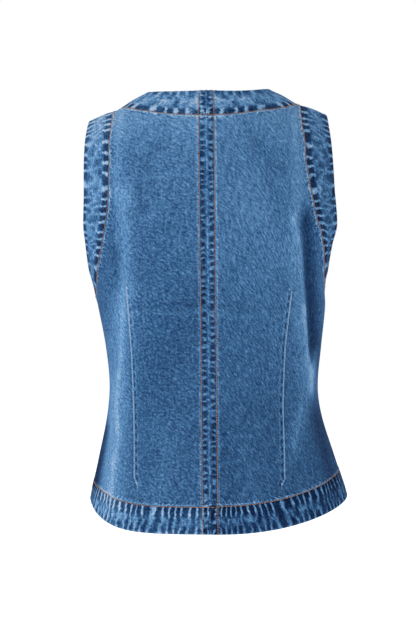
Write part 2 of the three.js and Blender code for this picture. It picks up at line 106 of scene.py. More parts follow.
def smoothstep(value: Array, low: float, high: float) -> Array:
    """A smooth rise from 0 at low to 1 at high.

    Args:
        value: Where to read the rise.
        low: Value at which the rise starts.
        high: Value at which it ends.

    Returns:
        t squared times (3 - 2 t), with t the clamped part of the way from low to high.
    """
    t = np.clip((value - low) / (high - low), 0.0, 1.0)
    return t * t * (3.0 - 2.0 * t)


def bell(value: Array, middle: float, reach: float) -> Array:
    """A bell curve: e to the minus square of the distance from middle over reach."""
    return np.exp(-(((value - middle) / reach) ** 2))


def unit(vectors: Points) -> Points:
    """Vectors of length 1 in the same directions."""
    return vectors / np.maximum(np.linalg.norm(vectors, axis=-1, keepdims=True), 1e-9)


def way_along(points: Points) -> Array:
    """The way along a polyline from its start to each of its points."""
    steps = np.linalg.norm(np.diff(points, axis=0), axis=1)
    return np.concatenate(([0.0], np.cumsum(steps)))


def linear(red: float, green: float, blue: float) -> tuple[float, float, float, float]:
    """A display colour as linear light: a straight part near black, then a power of 2.4.

    Args:
        red: Red from 0 to 255.
        green: Green from 0 to 255.
        blue: Blue from 0 to 255.

    Returns:
        The colour with full alpha.
    """
    parts = []
    for value in (red, green, blue):
        share = value / 255.0
        parts.append(share / 12.92 if share <= 0.04045 else ((share + 0.055) / 1.055) ** 2.4)
    return (*parts, 1.0)


@dataclass(frozen=True)
class BodyForm:
    """The smooth surface that all the cloth follows, in millimetres."""

    neck_half: float = 83.0
    neck_point_height: float = 15.5
    shoulder_half: float = 176.5
    shoulder_slope: float = 0.477
    shoulder_tilt: float = 0.0275
    shoulder_rounding: float = 25.0
    shoulder_roll: float = 75.0
    dip: float = 3.4
    dip_place: float = 123.0
    dip_reach: float = 14.0
    squareness: float = 0.035
    tuck_depth: float = 3.6
    tuck_flat: float = 20.0
    tuck_blend: float = 34.0
    sections: tuple[tuple[float, ...], ...] = (
        (-600.0, -15.5, 182.0, 124.0, 119.0),
        (-542.0, -15.1, 176.6, 121.0, 117.0),
        (-489.0, -12.3, 163.0, 113.0, 111.0),
        (-433.0, -9.0, 148.5, 102.0, 103.0),
        (-392.0, -8.0, 143.6, 96.0, 100.0),
        (-336.0, -7.6, 148.8, 96.0, 105.0),
        (-281.0, -5.0, 156.8, 103.0, 116.0),
        (-253.0, -1.6, 159.5, 106.0, 121.0),
        (-226.0, -0.6, 166.0, 109.0, 124.0),
        (-198.0, -1.2, 174.0, 111.0, 124.0),
        (-170.0, -3.0, 182.0, 112.0, 121.0),
        (-115.0, -1.4, 182.0, 110.0, 108.0),
        (-60.0, 0.0, 180.0, 101.0, 88.0),
        (-20.0, 0.0, 176.5, 85.0, 72.0),
        (30.0, 0.0, 176.5, 66.0, 54.0),
    )

    def section(self, column: int, height: Array) -> Array:
        """One column of the level sections at some heights.

        A cubic runs between each two rows, with the slope at a row taken from its two
        neighbours: value low + rise times the difference, plus both slopes' shares.

        Args:
            column: 1 for the sideways shift, 2 half width, 3 back depth, 4 front depth.
            height: Heights in millimetres.

        Returns:
            The column's value at each height.
        """
        rows = np.array(self.sections)
        levels, values = rows[:, 0], rows[:, column]
        last = len(levels) - 1
        below = np.maximum(np.arange(last + 1) - 1, 0)
        above = np.minimum(np.arange(last + 1) + 1, last)
        slopes = (values[above] - values[below]) / (levels[above] - levels[below])
        row = np.clip(np.searchsorted(levels, height, side="left") - 1, 0, last - 1)
        span = levels[row + 1] - levels[row]
        t = np.clip((height - levels[row]) / span, 0.0, 1.0)
        rise = t * t * (3.0 - 2.0 * t)
        low_slope = slopes[row] * span * t * (1.0 - t) ** 2
        high_slope = slopes[row + 1] * span * t * t * (t - 1.0)
        return values[row] + (values[row + 1] - values[row]) * rise + low_slope + high_slope

    def depth_column(self, panel: Panel) -> int:
        """Column of the sections that holds the panel's depth."""
        return 3 if panel.face is Face.BACK else 4

    def sideways(self, angle: Array) -> Array:
        """Sideways part of a section's outline: (sin a + k sin 3a) / (1 - k)."""
        return (np.sin(angle) + self.squareness * np.sin(3 * angle)) / (1 - self.squareness)

    def depthwards(self, angle: Array) -> Array:
        """Depth part of a section's outline: (cos a - k cos 3a) / (1 - k)."""
        return (np.cos(angle) - self.squareness * np.cos(3 * angle)) / (1 - self.squareness)

    def angle_of(self, fraction: Array | float) -> Array:
        """Angle at which the outline has a sideways fraction, read from a fine table."""
        table = np.linspace(-QUARTER, QUARTER, 40001)
        return np.interp(fraction, self.sideways(table), table)

    def angle_at(self, side: Side, x: Array | float, height: Array) -> Array:
        """Angle of a sideways place at a height: the shift is taken off, then the half width."""
        across = side.value * (x - self.section(1, height)) / self.section(2, height)
        return self.angle_of(across)

    def ridge(self, side: Side, angle: Array | float) -> Array:
        """Height of the shoulder ridge above an angle.

        The neck point's height, less the slope times the rounded way out from the neck,
        less the tilt across the body, less a shallow dip halfway along the shoulder.

        Args:
            side: The wearer's side.
            angle: Angles on that side.

        Returns:
            Heights in millimetres.
        """
        x = side.value * self.shoulder_half * self.sideways(angle)
        way = np.hypot(x, self.shoulder_rounding)
        way = way - math.hypot(self.neck_half, self.shoulder_rounding)
        dip = self.dip * bell(np.abs(x), self.dip_place, self.dip_reach)
        return self.neck_point_height - self.shoulder_slope * way - self.shoulder_tilt * x - dip

    def height_at(self, side: Side, angle: Array, run: Array) -> Array:
        """Height of a place: the ridge less a quarter circle's fall, then straight down.

        Args:
            side: The wearer's side.
            angle: Angles of the places.
            run: Runs of the places.

        Returns:
            Heights in millimetres.
        """
        bend = np.minimum(np.abs(run), self.shoulder_roll * QUARTER)
        fall = self.shoulder_roll * (1 - np.cos(bend / self.shoulder_roll)) + np.abs(run) - bend
        return self.ridge(side, angle) - fall

    def run_at(self, side: Side, angle: Array, height: Array) -> Array:
        """Run of a place of known height, the inverse of height_at.

        Args:
            side: The wearer's side.
            angle: Angles of the places.
            height: Their heights.

        Returns:
            Runs in millimetres.
        """
        roll = self.shoulder_roll
        fall = np.maximum(self.ridge(side, angle) - height, 0.0)
        bent = roll * np.arccos(np.clip(1 - fall / roll, -1.0, 1.0))
        return np.where(fall > roll, fall - roll + roll * QUARTER, bent)

    def at_height(self, side: Side, angle: Array, height: Array) -> Places:
        """Places of known angle and height."""
        return np.stack((angle, self.run_at(side, angle, height)), axis=-1)

    def point(self, panel: Panel, angle: Array, run: Array) -> Points:
        """Points of the smooth surface.

        X is the shift plus the half width times the sideways outline; Y is the depth times
        the depth outline and the sine of the roll over the shoulder; Z is the height.

        Args:
            panel: The panel.
            angle: Angles of the places.
            run: Runs of the places.

        Returns:
            Points in millimetres, one row of three for each place.
        """
        side = panel.side
        height = self.height_at(side, angle, run)
        limit = self.shoulder_roll * QUARTER
        roll = np.sin(np.clip(run, -limit, limit) / self.shoulder_roll)
        depth = self.section(self.depth_column(panel), height)
        across = side.value * self.section(2, height) * self.sideways(angle)
        x = self.section(1, height) + across
        y = panel.face.value * depth * self.depthwards(angle) * roll
        return np.stack(np.broadcast_arrays(x, y, height), axis=-1)

    def frame(self, panel: Panel, angle: Array, run: Array) -> tuple[Points, Points, Points]:
        """How the surface runs at some places, from differences over small steps.

        Args:
            panel: The panel.
            angle: Angles of the places.
            run: Runs of the places.

        Returns:
            The change with the angle, the change with the run, and the outward normal.
        """
        turn, drop = 0.001, 0.1
        across = self.point(panel, angle + turn, run) - self.point(panel, angle - turn, run)
        down = self.point(panel, angle, run + drop) - self.point(panel, angle, run - drop)
        across, down = across / (2 * turn), down / (2 * drop)
        normal = np.cross(across, down) * panel.side.value * panel.face.value
        return across, down, unit(normal)

    def tuck(self, panel: Panel, points: Points) -> Array:
        """How far the under front steps inwards near the centre, fading with distance.

        Args:
            panel: The panel.
            points: Points of the smooth surface.

        Returns:
            Millimetres, 0 on the other panels.
        """
        if panel is not FRONT_LEFT:
            return np.zeros(points.shape[:-1])
        distance = points[..., 0] - self.section(1, points[..., 2])
        end = self.tuck_flat + self.tuck_blend
        return self.tuck_depth * (1 - smoothstep(distance, self.tuck_flat, end))


@dataclass(frozen=True)
class Cut:
    """The lines along which the vest is cut and sewn, in millimetres, and their grids."""

    form: BodyForm = field(default_factory=BodyForm)
    back_neck_height: float = 8.0
    back_neck_curve: float = 3.2
    tip_angle: float = 65.0
    arm_back_angle: float = 65.0
    arm_front_angle: float = 60.0
    arm_widest: float = -120.0
    underarm: float = -235.0
    overlap: float = 15.0
    v_height: float = -195.0
    v_curve: float = 1.25
    hem_height: float = -579.3
    hem_start: float = -0.12
    hem_rise: tuple[float, float] = (32.0, 37.3)
    hem_curve: tuple[float, float] = (6.2, 2.1)
    seam_offset: float = 2.6
    seam_lean: float = 0.0097
    neck_band: float = 39.0
    front_band: float = 38.0
    arm_band: float = 39.0
    hem_band: float = 38.0
    neck_steps: int = 14
    ridge_steps: int = 2
    front_steps: int = 11
    side_rows: int = 16
    arm_rows: int = 20
    front_edge_rows: int = 6
    turn_height: float = -330.0
    samples: int = 240
    fineness: int = 8
    band_columns: int = 20
    relax_passes: int = 300
    fine_passes: int = 40

    @property
    def tip(self) -> Places:
        """Place of the shoulder tip on the ridge."""
        return np.array([math.radians(self.tip_angle), 0.0])

    @property
    def neck_point(self) -> Places:
        """Place of the neck point on the ridge."""
        part = self.form.neck_half / self.form.shoulder_half
        return np.array([float(self.form.angle_of(part)), 0.0])

    def points(self, panel: Panel, places: Places) -> Points:
        """Points of the smooth surface at some places."""
        return self.form.point(panel, places[..., 0], places[..., 1])

    def respace(self, panel: Panel, curve: Places, stops: Array) -> Places:
        """A curve spaced anew at given lengths of cloth.

        Args:
            panel: The panel that carries the curve.
            curve: Places along the curve.
            stops: Lengths from the curve's start, as parts of its whole length.

        Returns:
            One place for each stop.
        """
        lengths = way_along(self.points(panel, curve))
        wanted = stops * lengths[-1]
        angle = np.interp(wanted, lengths, curve[:, 0])
        run = np.interp(wanted, lengths, curve[:, 1])
        return np.stack((angle, run), axis=-1)

    def even(self, count: int) -> Array:
        """Even stops from 0 to 1."""
        return np.linspace(0.0, 1.0, count + 1)

    def hemmed(self, panel: Panel, curve: Places, scale: int) -> Array:
        """Stops with two steps in the hem band and the rest even above it, then refined.

        Args:
            panel: The panel.
            curve: Places along the edge, from the hem up.
            scale: Number of fine steps in a coarse one.

        Returns:
            Parts of the edge's length.
        """
        foot = self.hem_band / float(way_along(self.points(panel, curve))[-1])
        coarse = np.concatenate(([0.0, foot / 2], np.linspace(foot, 1.0, self.side_rows - 1)))
        index = np.arange(self.side_rows * scale + 1) / scale
        return np.interp(index, np.arange(self.side_rows + 1), coarse)

    def hem_place(self, side: Side, angle: Array) -> Places:
        """Hem places: level at the centre, and a power of the sideways part towards the side.

        Args:
            side: The wearer's side.
            angle: Angles of the places.

        Returns:
            One place for each angle.
        """
        pick = 0 if side is Side.LEFT else 1
        angle = np.atleast_1d(angle)
        climb = np.abs(self.form.sideways(angle)) ** self.hem_curve[pick]
        return self.form.at_height(side, angle, self.hem_height + self.hem_rise[pick] * climb)

    def arm_edge(self, panel: Panel) -> Places:
        """Armhole edge from the underarm round to the shoulder tip.

        The lower part is a quarter ellipse in angle and height; above its widest place the
        run shrinks evenly to 0 while the angle eases to the shoulder tip's.

        Args:
            panel: The panel.

        Returns:
            Places along the edge.
        """
        side = panel.side
        degrees = self.arm_back_angle if panel.face is Face.BACK else self.arm_front_angle
        middle = math.radians(degrees)
        part = self.even(self.samples)
        swing = part * QUARTER
        angle = QUARTER - (QUARTER - middle) * np.sin(swing)
        height = self.underarm + (self.arm_widest - self.underarm) * (1 - np.cos(swing))
        lower = self.form.at_height(side, angle, height)
        ease = middle + (self.tip[0] - middle) * smoothstep(part, 0.0, 1.0)
        upper = np.stack((ease, lower[-1, 1] * (1 - part)), axis=-1)
        return np.concatenate((lower, upper[1:]))

    def beside_seam(self, panel: Panel, height: Array, away: float) -> Places:
        """Places beside the centre-back seam, a straight line that leans slightly.

        Args:
            panel: The panel.
            height: Their heights.
            away: Distance from the seam.

        Returns:
            One place for each height.
        """
        seam = self.seam_offset + self.seam_lean * (height - self.back_neck_height)
        angle = self.form.angle_at(panel.side, seam + panel.side.value * away, height)
        return self.form.at_height(panel.side, angle, height)

    def back_seam(self, panel: Panel, low: float, high: float) -> Places:
        """The centre-back seam between two heights."""
        return self.beside_seam(panel, np.linspace(low, high, self.samples + 1), 0.0)

    def back_neck(self, panel: Panel) -> Places:
        """Back neck edge from the centre seam to the neck point, climbing by a power.

        Args:
            panel: The panel.

        Returns:
            Places along the edge.
        """
        form, side = self.form, panel.side
        start = self.back_seam(panel, self.back_neck_height, self.back_neck_height)[0, 0]
        first = float(form.sideways(start)) * form.shoulder_half
        top = float(form.ridge(side, self.neck_point[0]))
        part = self.even(self.samples)
        width = first + (form.neck_half - first) * np.sin(part * QUARTER)
        angle = form.angle_of(width / form.shoulder_half)
        climb = np.abs(width / form.neck_half) ** self.back_neck_curve
        height = self.back_neck_height + (top - self.back_neck_height) * climb
        return form.at_height(side, angle, height)

    def front_edge(self, panel: Panel, low: float, high: float) -> Places:
        """Front edge between two heights, past the centre by the overlap.

        Args:
            panel: The panel.
            low: The lower height.
            high: The upper height.

        Returns:
            Places along the edge.
        """
        height = np.linspace(low, high, self.samples + 1)
        angle = self.form.angle_of(-self.overlap / self.form.section(2, height))
        return self.form.at_height(panel.side, angle, height)

    def front_neck(self, panel: Panel) -> Places:
        """Front neck edge from the front edge's head to the neck point.

        The height falls by a square and the width by a power of it.

        Args:
            panel: The panel.

        Returns:
            Places along the edge.
        """
        form, side = self.form, panel.side
        top = float(form.ridge(side, self.neck_point[0]))
        fall = (1 - self.even(self.samples)) ** 2
        height = top + (self.v_height - top) * fall
        width = form.neck_half - (form.neck_half + self.overlap) * fall**self.v_curve
        angle = form.angle_of(width / form.section(2, height))
        return form.at_height(side, angle, height)

    def inset(
        self,
        panel: Panel,
        curve: Places,
        width: float | Array,
        sense: int,
        start: Places | None,
        end: Places | None,
    ) -> Places:
        """A curve moved into the cloth by a width, in six small steps along the surface.

        Args:
            panel: The panel.
            curve: Places along the curve.
            width: Way to move, in millimetres of cloth, one for all or one for each place.
            sense: 1 where the cloth lies towards growing angles as the curve climbs, else -1.
            start: Where the moved curve has to start, or None to leave it.
            end: Where it has to end, or None to leave it.

        Returns:
            Places along the moved curve.
        """
        steps = 6
        handed = sense * panel.side.value * panel.face.value
        base = self.points(panel, curve)
        ahead = np.concatenate((base[1:], base[-1:]))
        behind = np.concatenate((base[:1], base[:-1]))
        tangent = unit(ahead - behind)
        angle, run = curve[:, 0], curve[:, 1]
        inward = np.cross(self.form.frame(panel, angle, run)[2], tangent) * handed
        for _ in range(steps):
            across, down, normal = self.form.frame(panel, angle, run)
            inward = unit(inward - normal * np.sum(inward * normal, axis=1, keepdims=True))
            aa, ad, dd = (across * across).sum(1), (across * down).sum(1), (down * down).sum(1)
            ia, idn = (inward * across).sum(1), (inward * down).sum(1)
            area = aa * dd - ad * ad
            angle = angle + (ia * dd - idn * ad) / area * width / steps
            run = run + (idn * aa - ia * ad) / area * width / steps
        moved = np.stack((angle, run), axis=-1)
        start_miss = (moved[0] if start is None else start) - moved[0]
        end_miss = (moved[-1] if end is None else end) - moved[-1]
        part = np.linspace(0.0, 1.0, len(moved))[:, None]
        return moved + start_miss * (1 - part) + end_miss * part

    def ridge_run(self, panel: Panel, angle: float, width: float) -> Places:
        """Place on the ridge that lies a width of cloth away from an angle.

        Args:
            panel: The panel.
            angle: The angle.
            width: The width, negative towards the neck.

        Returns:
            The place.
        """
        turn = np.linspace(0.0, math.copysign(0.8, width), 801)
        lengths = way_along(self.form.point(panel, angle + turn, np.zeros_like(turn)))
        return np.array([angle + float(np.interp(abs(width), lengths, turn)), 0.0])

    def neck_foot(self) -> float:
        """Height on the centre-back seam at which the neck band ends.

        Returns:
            The height in millimetres.
        """
        edge = self.back_neck(BACK_LEFT)
        place = self.inset(BACK_LEFT, edge, self.neck_band, 1, None, self.neck_point)[0]
        return float(self.form.height_at(Side.LEFT, place[0], place[1]))

    def coons(self, bottom: Places, top: Places, left: Places, right: Places) -> Places:
        """A grid blended between its four edges, rows from the bottom to the top.

        The blend across plus the blend upwards, less the blend of the four corners.

        Args:
            bottom: Lowest row of places.
            top: Highest row.
            left: First column.
            right: Last column.

        Returns:
            An array of places, rows by columns by two.
        """
        s = np.linspace(0.0, 1.0, len(bottom))[None, :, None]
        t = np.linspace(0.0, 1.0, len(left))[:, None, None]
        upright = bottom[None] * (1 - t) + top[None] * t
        level = left[:, None] * (1 - s) + right[:, None] * s
        low = bottom[0] * (1 - s) + bottom[-1] * s
        high = top[0] * (1 - s) + top[-1] * s
        return upright + level - (low * (1 - t) + high * t)

    def relax(self, grid: Places, passes: int, first: int) -> Places:
        """Evens out a grid: each inner place goes to the middle of its four neighbours.

        Args:
            grid: Places in rows.
            passes: How often.
            first: First row that moves.

        Returns:
            The new grid.
        """
        grid = grid.copy()
        for _ in range(passes):
            near = grid[first:-1, :-2] + grid[first:-1, 2:]
            near = near + grid[first - 1 : -2, 1:-1] + grid[first + 1 :, 1:-1]
            grid[first:-1, 1:-1] = near / 4
        return grid

    def ruled(self, edge: Places, band: Places, count: int) -> Places:
        """A strip of straight rungs between an edge and the line a band's width inside it."""
        part = np.linspace(0.0, 1.0, count + 1)[None, :, None]
        return edge[:, None] * (1 - part) + band[:, None] * part

    def side_parts(self, panel: Panel, scale: int) -> tuple[Places, Places, Places, Places]:
        """Lines that both kinds of panel have.

        Args:
            panel: The panel.
            scale: Fineness of the grid.

        Returns:
            The shoulder tip's band end, the armhole edge, its band line, and the side edge.
        """
        tip = self.ridge_run(panel, self.tip[0], -self.arm_band)
        run = self.form.run_at(panel.side, np.array(QUARTER), self.underarm - self.arm_band)
        under = np.array([QUARTER, float(run)])
        edge = self.respace(panel, self.arm_edge(panel), self.even(self.arm_rows * scale))
        band = self.inset(panel, edge, self.arm_band, -1, under, tip)
        hem = self.hem_place(panel.side, np.array(QUARTER))[0]
        straight = hem + (under - hem) * self.even(self.samples)[:, None]
        seam = self.respace(panel, straight, self.hemmed(panel, straight, scale))
        return tip, edge, band, np.concatenate((seam, band[1:]))

    def bottom(self, panel: Panel, start: float, count: int) -> Places:
        """Evenly spaced places along the hem from an angle to the side seam."""
        angles = start + (QUARTER - start) * self.even(self.samples)
        return self.respace(panel, self.hem_place(panel.side, angles), self.even(count))

    def strips(self, main: Places, neck: tuple[Places, Places], arm: tuple[Places, Places]) -> Grids:
        """A panel's grids by name, with strips between each edge and its band line."""
        count = self.band_columns
        return {"main": main, "neck": self.ruled(*neck, count), "arm": self.ruled(*arm, count)}

    def back_grids(self, panel: Panel, scale: int) -> Grids:
        """Grids of a back panel at a fineness.

        Args:
            panel: The panel.
            scale: Number of fine steps in a coarse one.

        Returns:
            Main field, neck strip and armhole strip.
        """
        tip, arm_edge, arm_band, right = self.side_parts(panel, scale)
        edge = self.respace(panel, self.back_neck(panel), self.even(self.neck_steps * scale))
        ridge_end = self.ridge_run(panel, self.neck_point[0], self.neck_band)
        lower = self.back_seam(panel, self.hem_height, self.turn_height)
        lower = self.respace(panel, lower, self.hemmed(panel, lower, scale))
        upper = self.back_seam(panel, self.turn_height, self.neck_foot())
        upper = self.respace(panel, upper, self.even(self.arm_rows * scale))
        left = np.concatenate((lower, upper[1:]))
        band = self.inset(panel, edge, self.neck_band, 1, left[-1], ridge_end)
        part = self.even(self.ridge_steps * scale)[1:, None]
        top = np.concatenate((band, ridge_end + (tip - ridge_end) * part))
        bottom = self.bottom(panel, left[0, 0], len(top) - 1)
        return self.strips(self.coons(bottom, top, left, right), (edge, band), (arm_edge, arm_band))

    def front_grids(self, panel: Panel, scale: int) -> Grids:
        """Grids of a front panel: the neck strip runs on down the front edge to the hem.

        Args:
            panel: The panel.
            scale: Number of fine steps in a coarse one.

        Returns:
            Main field, neck strip and armhole strip.
        """
        tip, arm_edge, arm_band, right = self.side_parts(panel, scale)
        lower = self.front_edge(panel, self.hem_height, self.turn_height)
        lower = self.respace(panel, lower, self.hemmed(panel, lower, scale))
        upper = self.front_edge(panel, self.turn_height, self.v_height)
        upper = self.respace(panel, upper, self.even(self.front_edge_rows * scale))
        neck_rows = (self.arm_rows - self.front_edge_rows) * scale
        neck = self.respace(panel, self.front_neck(panel), self.even(neck_rows))
        edge = np.concatenate((lower, upper[1:], neck[1:]))
        ridge_end = self.ridge_run(panel, self.neck_point[0], self.neck_band)
        foot = self.inset(panel, edge, self.front_band, 1, None, ridge_end)[0, 0]
        start = self.hem_place(panel.side, np.array(foot))[0]
        band = self.inset(panel, edge, self.front_band, 1, start, ridge_end)
        part = self.even(self.front_steps * scale)[:, None]
        top = ridge_end + (tip - ridge_end) * part
        bottom = self.bottom(panel, foot, len(top) - 1)
        return self.strips(self.coons(bottom, top, band, right), (edge, band), (arm_edge, arm_band))

    def grids(self, panel: Panel) -> Grids:
        """The fine grids of a panel.

        A back's main field is evened out as its solid's is: the coarse grid's change is
        blended between its places, and a few passes on the fine grid smooth it.

        Args:
            panel: The panel.

        Returns:
            Grids of places by name.
        """
        if panel.face is Face.FRONT:
            return self.front_grids(panel, self.fineness)
        fine = self.back_grids(panel, self.fineness)
        coarse = self.back_grids(panel, 1)["main"]
        change = self.relax(coarse, self.relax_passes, 3) - coarse
        rows, columns = fine["main"].shape[:2]
        at_row = np.arange(rows) / self.fineness
        at_column = np.arange(columns) / self.fineness
        r = np.minimum(at_row.astype(int), change.shape[0] - 2)
        c = np.minimum(at_column.astype(int), change.shape[1] - 2)
        u = (at_row - r)[:, None, None]
        v = (at_column - c)[None, :, None]
        low = change[r][:, c] * (1 - v) + change[r][:, c + 1] * v
        high = change[r + 1][:, c] * (1 - v) + change[r + 1][:, c + 1] * v
        moved = fine["main"] + low * (1 - u) + high * u
        fine["main"] = self.relax(moved, self.fine_passes, 3 * self.fineness)
        return fine


@dataclass(frozen=True)
class Crease:
    """A soft fold, given by sideways place and height along it, in millimetres.

    Lift is positive for a ridge and negative for a trough. The tone is positive where the cloth
    is paler, partly real rubbing and partly a painted highlight where the fold faces the light,
    and negative where it is darker, partly unrubbed dye and partly painted shade in a trough
    or on a side that turns away from the light.
    """

    face: Face
    line: tuple[tuple[float, float], ...]
    reach: float
    lift: float
    wear_and_shading: float

    def strength(self, panel: Panel, points: Points) -> Array:
        """How strongly the crease acts: a bell of the distance from the line.

        Past an end of the line the distance counts half, so that the crease fades slowly.

        Args:
            panel: The panel that the points are on.
            points: Points in millimetres.

        Returns:
            A share from 0 to 1 for each point.
        """
        wanted = math.copysign(1.0, self.line[0][0]) == panel.side.value
        if panel.face is not self.face or not wanted:
            return np.zeros(points.shape[:-1])
        line = np.array(self.line)
        nearest = np.full(points.shape[:-1], 1e9)
        for index, (first, second) in enumerate(zip(line[:-1], line[1:])):
            length = float(np.hypot(*(second - first)))
            unit = (second - first) / length
            dx, dz = points[..., 0] - first[0], points[..., 2] - first[1]
            along = dx * unit[0] + dz * unit[1]
            across = dx * unit[1] - dz * unit[0]
            before = np.maximum(-along, 0.0) * (0.5 if index == 0 else 1.0)
            after = np.maximum(along - length, 0.0) * (0.5 if index == len(line) - 2 else 1.0)
            reach = np.hypot(across, before + after) / self.reach
            nearest = np.minimum(nearest, reach)
        return np.exp(-(nearest**2))


BACK, FRONT = Face.BACK, Face.FRONT
# Rows: face, line, reach, lift and tone; the tone is partly real rubbing and partly painted light and
# shade.
CREASE_ROWS = (
    (BACK, ((-130, -172), (-143, -335)), 12, -5.0, -0.36),
    (BACK, ((-118, -168), (-133, -385)), 11, 3.0, 0.16),
    (BACK, ((-124, -418), (-114, -465)), 12, 2.5, 0.08),
    (BACK, ((-150, -432), (-168, -505)), 12, -3.5, -0.2),
    (BACK, ((126, -160), (122, -242)), 11, -4.5, -0.08),
    (BACK, ((108, -140), (110, -255)), 11, 3.0, 0.16),
    (BACK, ((121, -400), (130, -520)), 13, 3.5, 0.04),
    (BACK, ((138, -455), (150, -520)), 12, -3.5, 0.02),
    (FRONT, ((-120, -190), (-128, -320)), 14, -4.0, -0.2),
    (FRONT, ((112, -200), (124, -330)), 14, -4.5, -0.2),
    (FRONT, ((128, -430), (146, -515)), 13, 3.0, 0.24),
    (FRONT, ((-120, -440), (-140, -510)), 14, -3.0, -0.18),
    (BACK, ((118, -23), (120, -89), (121, -150), (124, -190)), 7, 0.7, 0.1),
    # No lift: a painted highlight on the lower left back, where the cloth faces the light.
    (BACK, ((115, -290), (121, -380), (130, -530)), 20, 0.0, 0.22),
    # Painted shade on the far left side, where the cloth turns away from the light.
    (BACK, ((145, -450), (158, -524)), 7, -0.5, -0.42),
    (BACK, ((114, -287), (120, -406), (118, -460), (123, -486), (127, -533)), 3, 0.7, 0.14),
    (BACK, ((-112, -168), (-122, -204), (-126, -249), (-128, -287)), 4, 0.8, 0.12),
    (BACK, ((-128, -287), (-132, -337), (-136, -369), (-138, -394)), 4, 0.9, 0.22),
    (BACK, ((-148, -346), (-141, -370)), 4, 0.9, 0.2),
    (BACK, ((-122, -419), (-116, -451), (-113, -461)), 4, 0.5, 0.08),
    (BACK, ((-117, -30), (-119, -95), (-122, -150)), 7, 0.7, 0.08),
    (BACK, ((4, -291), (60, -289), (104, -293)), 5, 0.25, 0.03),
    (BACK, ((-4, -292), (-70, -295), (-108, -290)), 5, 0.25, 0.03),
    (BACK, ((4, -281), (60, -279), (104, -283)), 5, -0.25, -0.04),
    (BACK, ((-4, -282), (-70, -285), (-108, -280)), 5, -0.25, -0.04),
    (BACK, ((62, -52), (84, -96), (96, -150)), 16, -0.8, -0.06),
    (BACK, ((-60, -56), (-86, -104), (-98, -160)), 15, -0.7, -0.06),
    (BACK, ((52, -470), (60, -530)), 14, 0.9, 0.05),
    (BACK, ((-46, -462), (-58, -528)), 15, 0.8, 0.05),
    (FRONT, ((126, -28), (122, -90), (112, -165)), 7, 0.9, 0.22),
    (FRONT, ((-126, -30), (-123, -95), (-114, -160)), 7, 0.9, 0.22),
    (FRONT, ((132, -236), (112, -262), (96, -276)), 6, -1.4, -0.16),
    (FRONT, ((-132, -240), (-110, -258), (-97, -272)), 6, -1.3, -0.16),
    (FRONT, ((137, -262), (116, -300), (108, -342)), 5, 1.0, 0.2),
    (FRONT, ((-138, -268), (-118, -310), (-112, -352)), 5, 1.1, 0.2),
    (FRONT, ((40, -292), (80, -296), (104, -293)), 6, 0.5, 0.05),
    (FRONT, ((-36, -294), (-80, -291), (-106, -296)), 6, 0.5, 0.05),
    (FRONT, ((58, -420), (66, -500)), 15, 1.0, 0.05),
    (FRONT, ((-60, -430), (-74, -510)), 14, 1.1, 0.06),
)
CREASES = tuple(Crease(*row) for row in CREASE_ROWS)


@dataclass(frozen=True)
class Band:
    """A doubled, topstitched band along a cut edge, in millimetres.

    Phase counts the puckers along the edge, each of which is one wave of a sine.
    """

    width: float
    pitch: float
    pucker: float
    seed: float
    plateau: float = 0.45
    slant: float = 0.55

    def phase(self, along: Array, inside: Array) -> Array:
        """Pucker count at a place: the way along over the pitch, with an uneven drift.

        Args:
            along: Way along the edge.
            inside: Distance from the edge.

        Returns:
            The count, whose sine gives the puckers.
        """
        drift = 0.34 * np.sin(along / 21.0 + self.seed) + 0.24 * np.sin(along / 8.3 + 2 * self.seed)
        lean = self.slant * np.sin(along / 37.0 + 1.3 * self.seed) * inside / self.width
        return along / self.pitch + drift + lean

    def relief(self, along: Array, inside: Array, width: Array, calm: Array) -> Array:
        """Outward relief of the band.

        A low step for the doubled cloth, a rolled edge, a groove at the stitching with a
        ridge past it, and puckers that are strongest at the stitching.

        Args:
            along: Way along the edge.
            inside: Distance from the edge.
            width: Distance of the stitching from the edge there.
            calm: Share of the puckers that is left, 0 at a seam.

        Returns:
            Millimetres of lift.
        """
        wave = np.sin(2 * np.pi * self.phase(along, inside))
        past = inside - width
        on_band = 1 - smoothstep(past, -0.5, 1.8)
        rolled = 0.45 * bell(inside, 2.6, 1.8) - 0.55 * bell(inside, 0.0, 1.0)
        groove = 0.5 * bell(past, 3.0, 1.8) - 0.5 * bell(past, 0.0, 1.4)
        free = smoothstep(inside, 0.0, 9.0)
        pull = (0.35 * on_band + 0.6 * bell(past, 0.0, 5.5)) * (0.25 + 0.75 * free)
        return self.plateau * on_band + rolled + groove + self.pucker * wave * pull * calm


def nearest_on_line(points: Points, line: Points) -> tuple[Array, Array]:
    """Nearest place on a polyline for each point, found segment by segment.

    Each point is projected on every segment, clamped to its ends, and the least distance
    of all wins.

    Args:
        points: Points, one row of three each.
        line: Corners of the polyline.

    Returns:
        The distance from the line, and the way along the line to the nearest place.
    """
    start, step = line[:-1], np.diff(line, axis=0)
    squared = (step * step).sum(1)
    length = np.sqrt(squared)
    before = np.concatenate(([0.0], np.cumsum(length)[:-1]))
    distance = np.empty(len(points))
    along = np.empty(len(points))
    block = 6000
    for first in range(0, len(points), block):
        part = points[first : first + block]
        offset = part[:, None, :] - start[None]
        t = np.clip((offset * step[None]).sum(2) / squared[None], 0.0, 1.0)
        gap = offset - t[..., None] * step[None]
        far = (gap * gap).sum(2)
        best = far.argmin(1)
        rows = np.arange(len(part))
        distance[first : first + block] = np.sqrt(far[rows, best])
        along[first : first + block] = before[best] + t[rows, best] * length[best]
    return distance, along


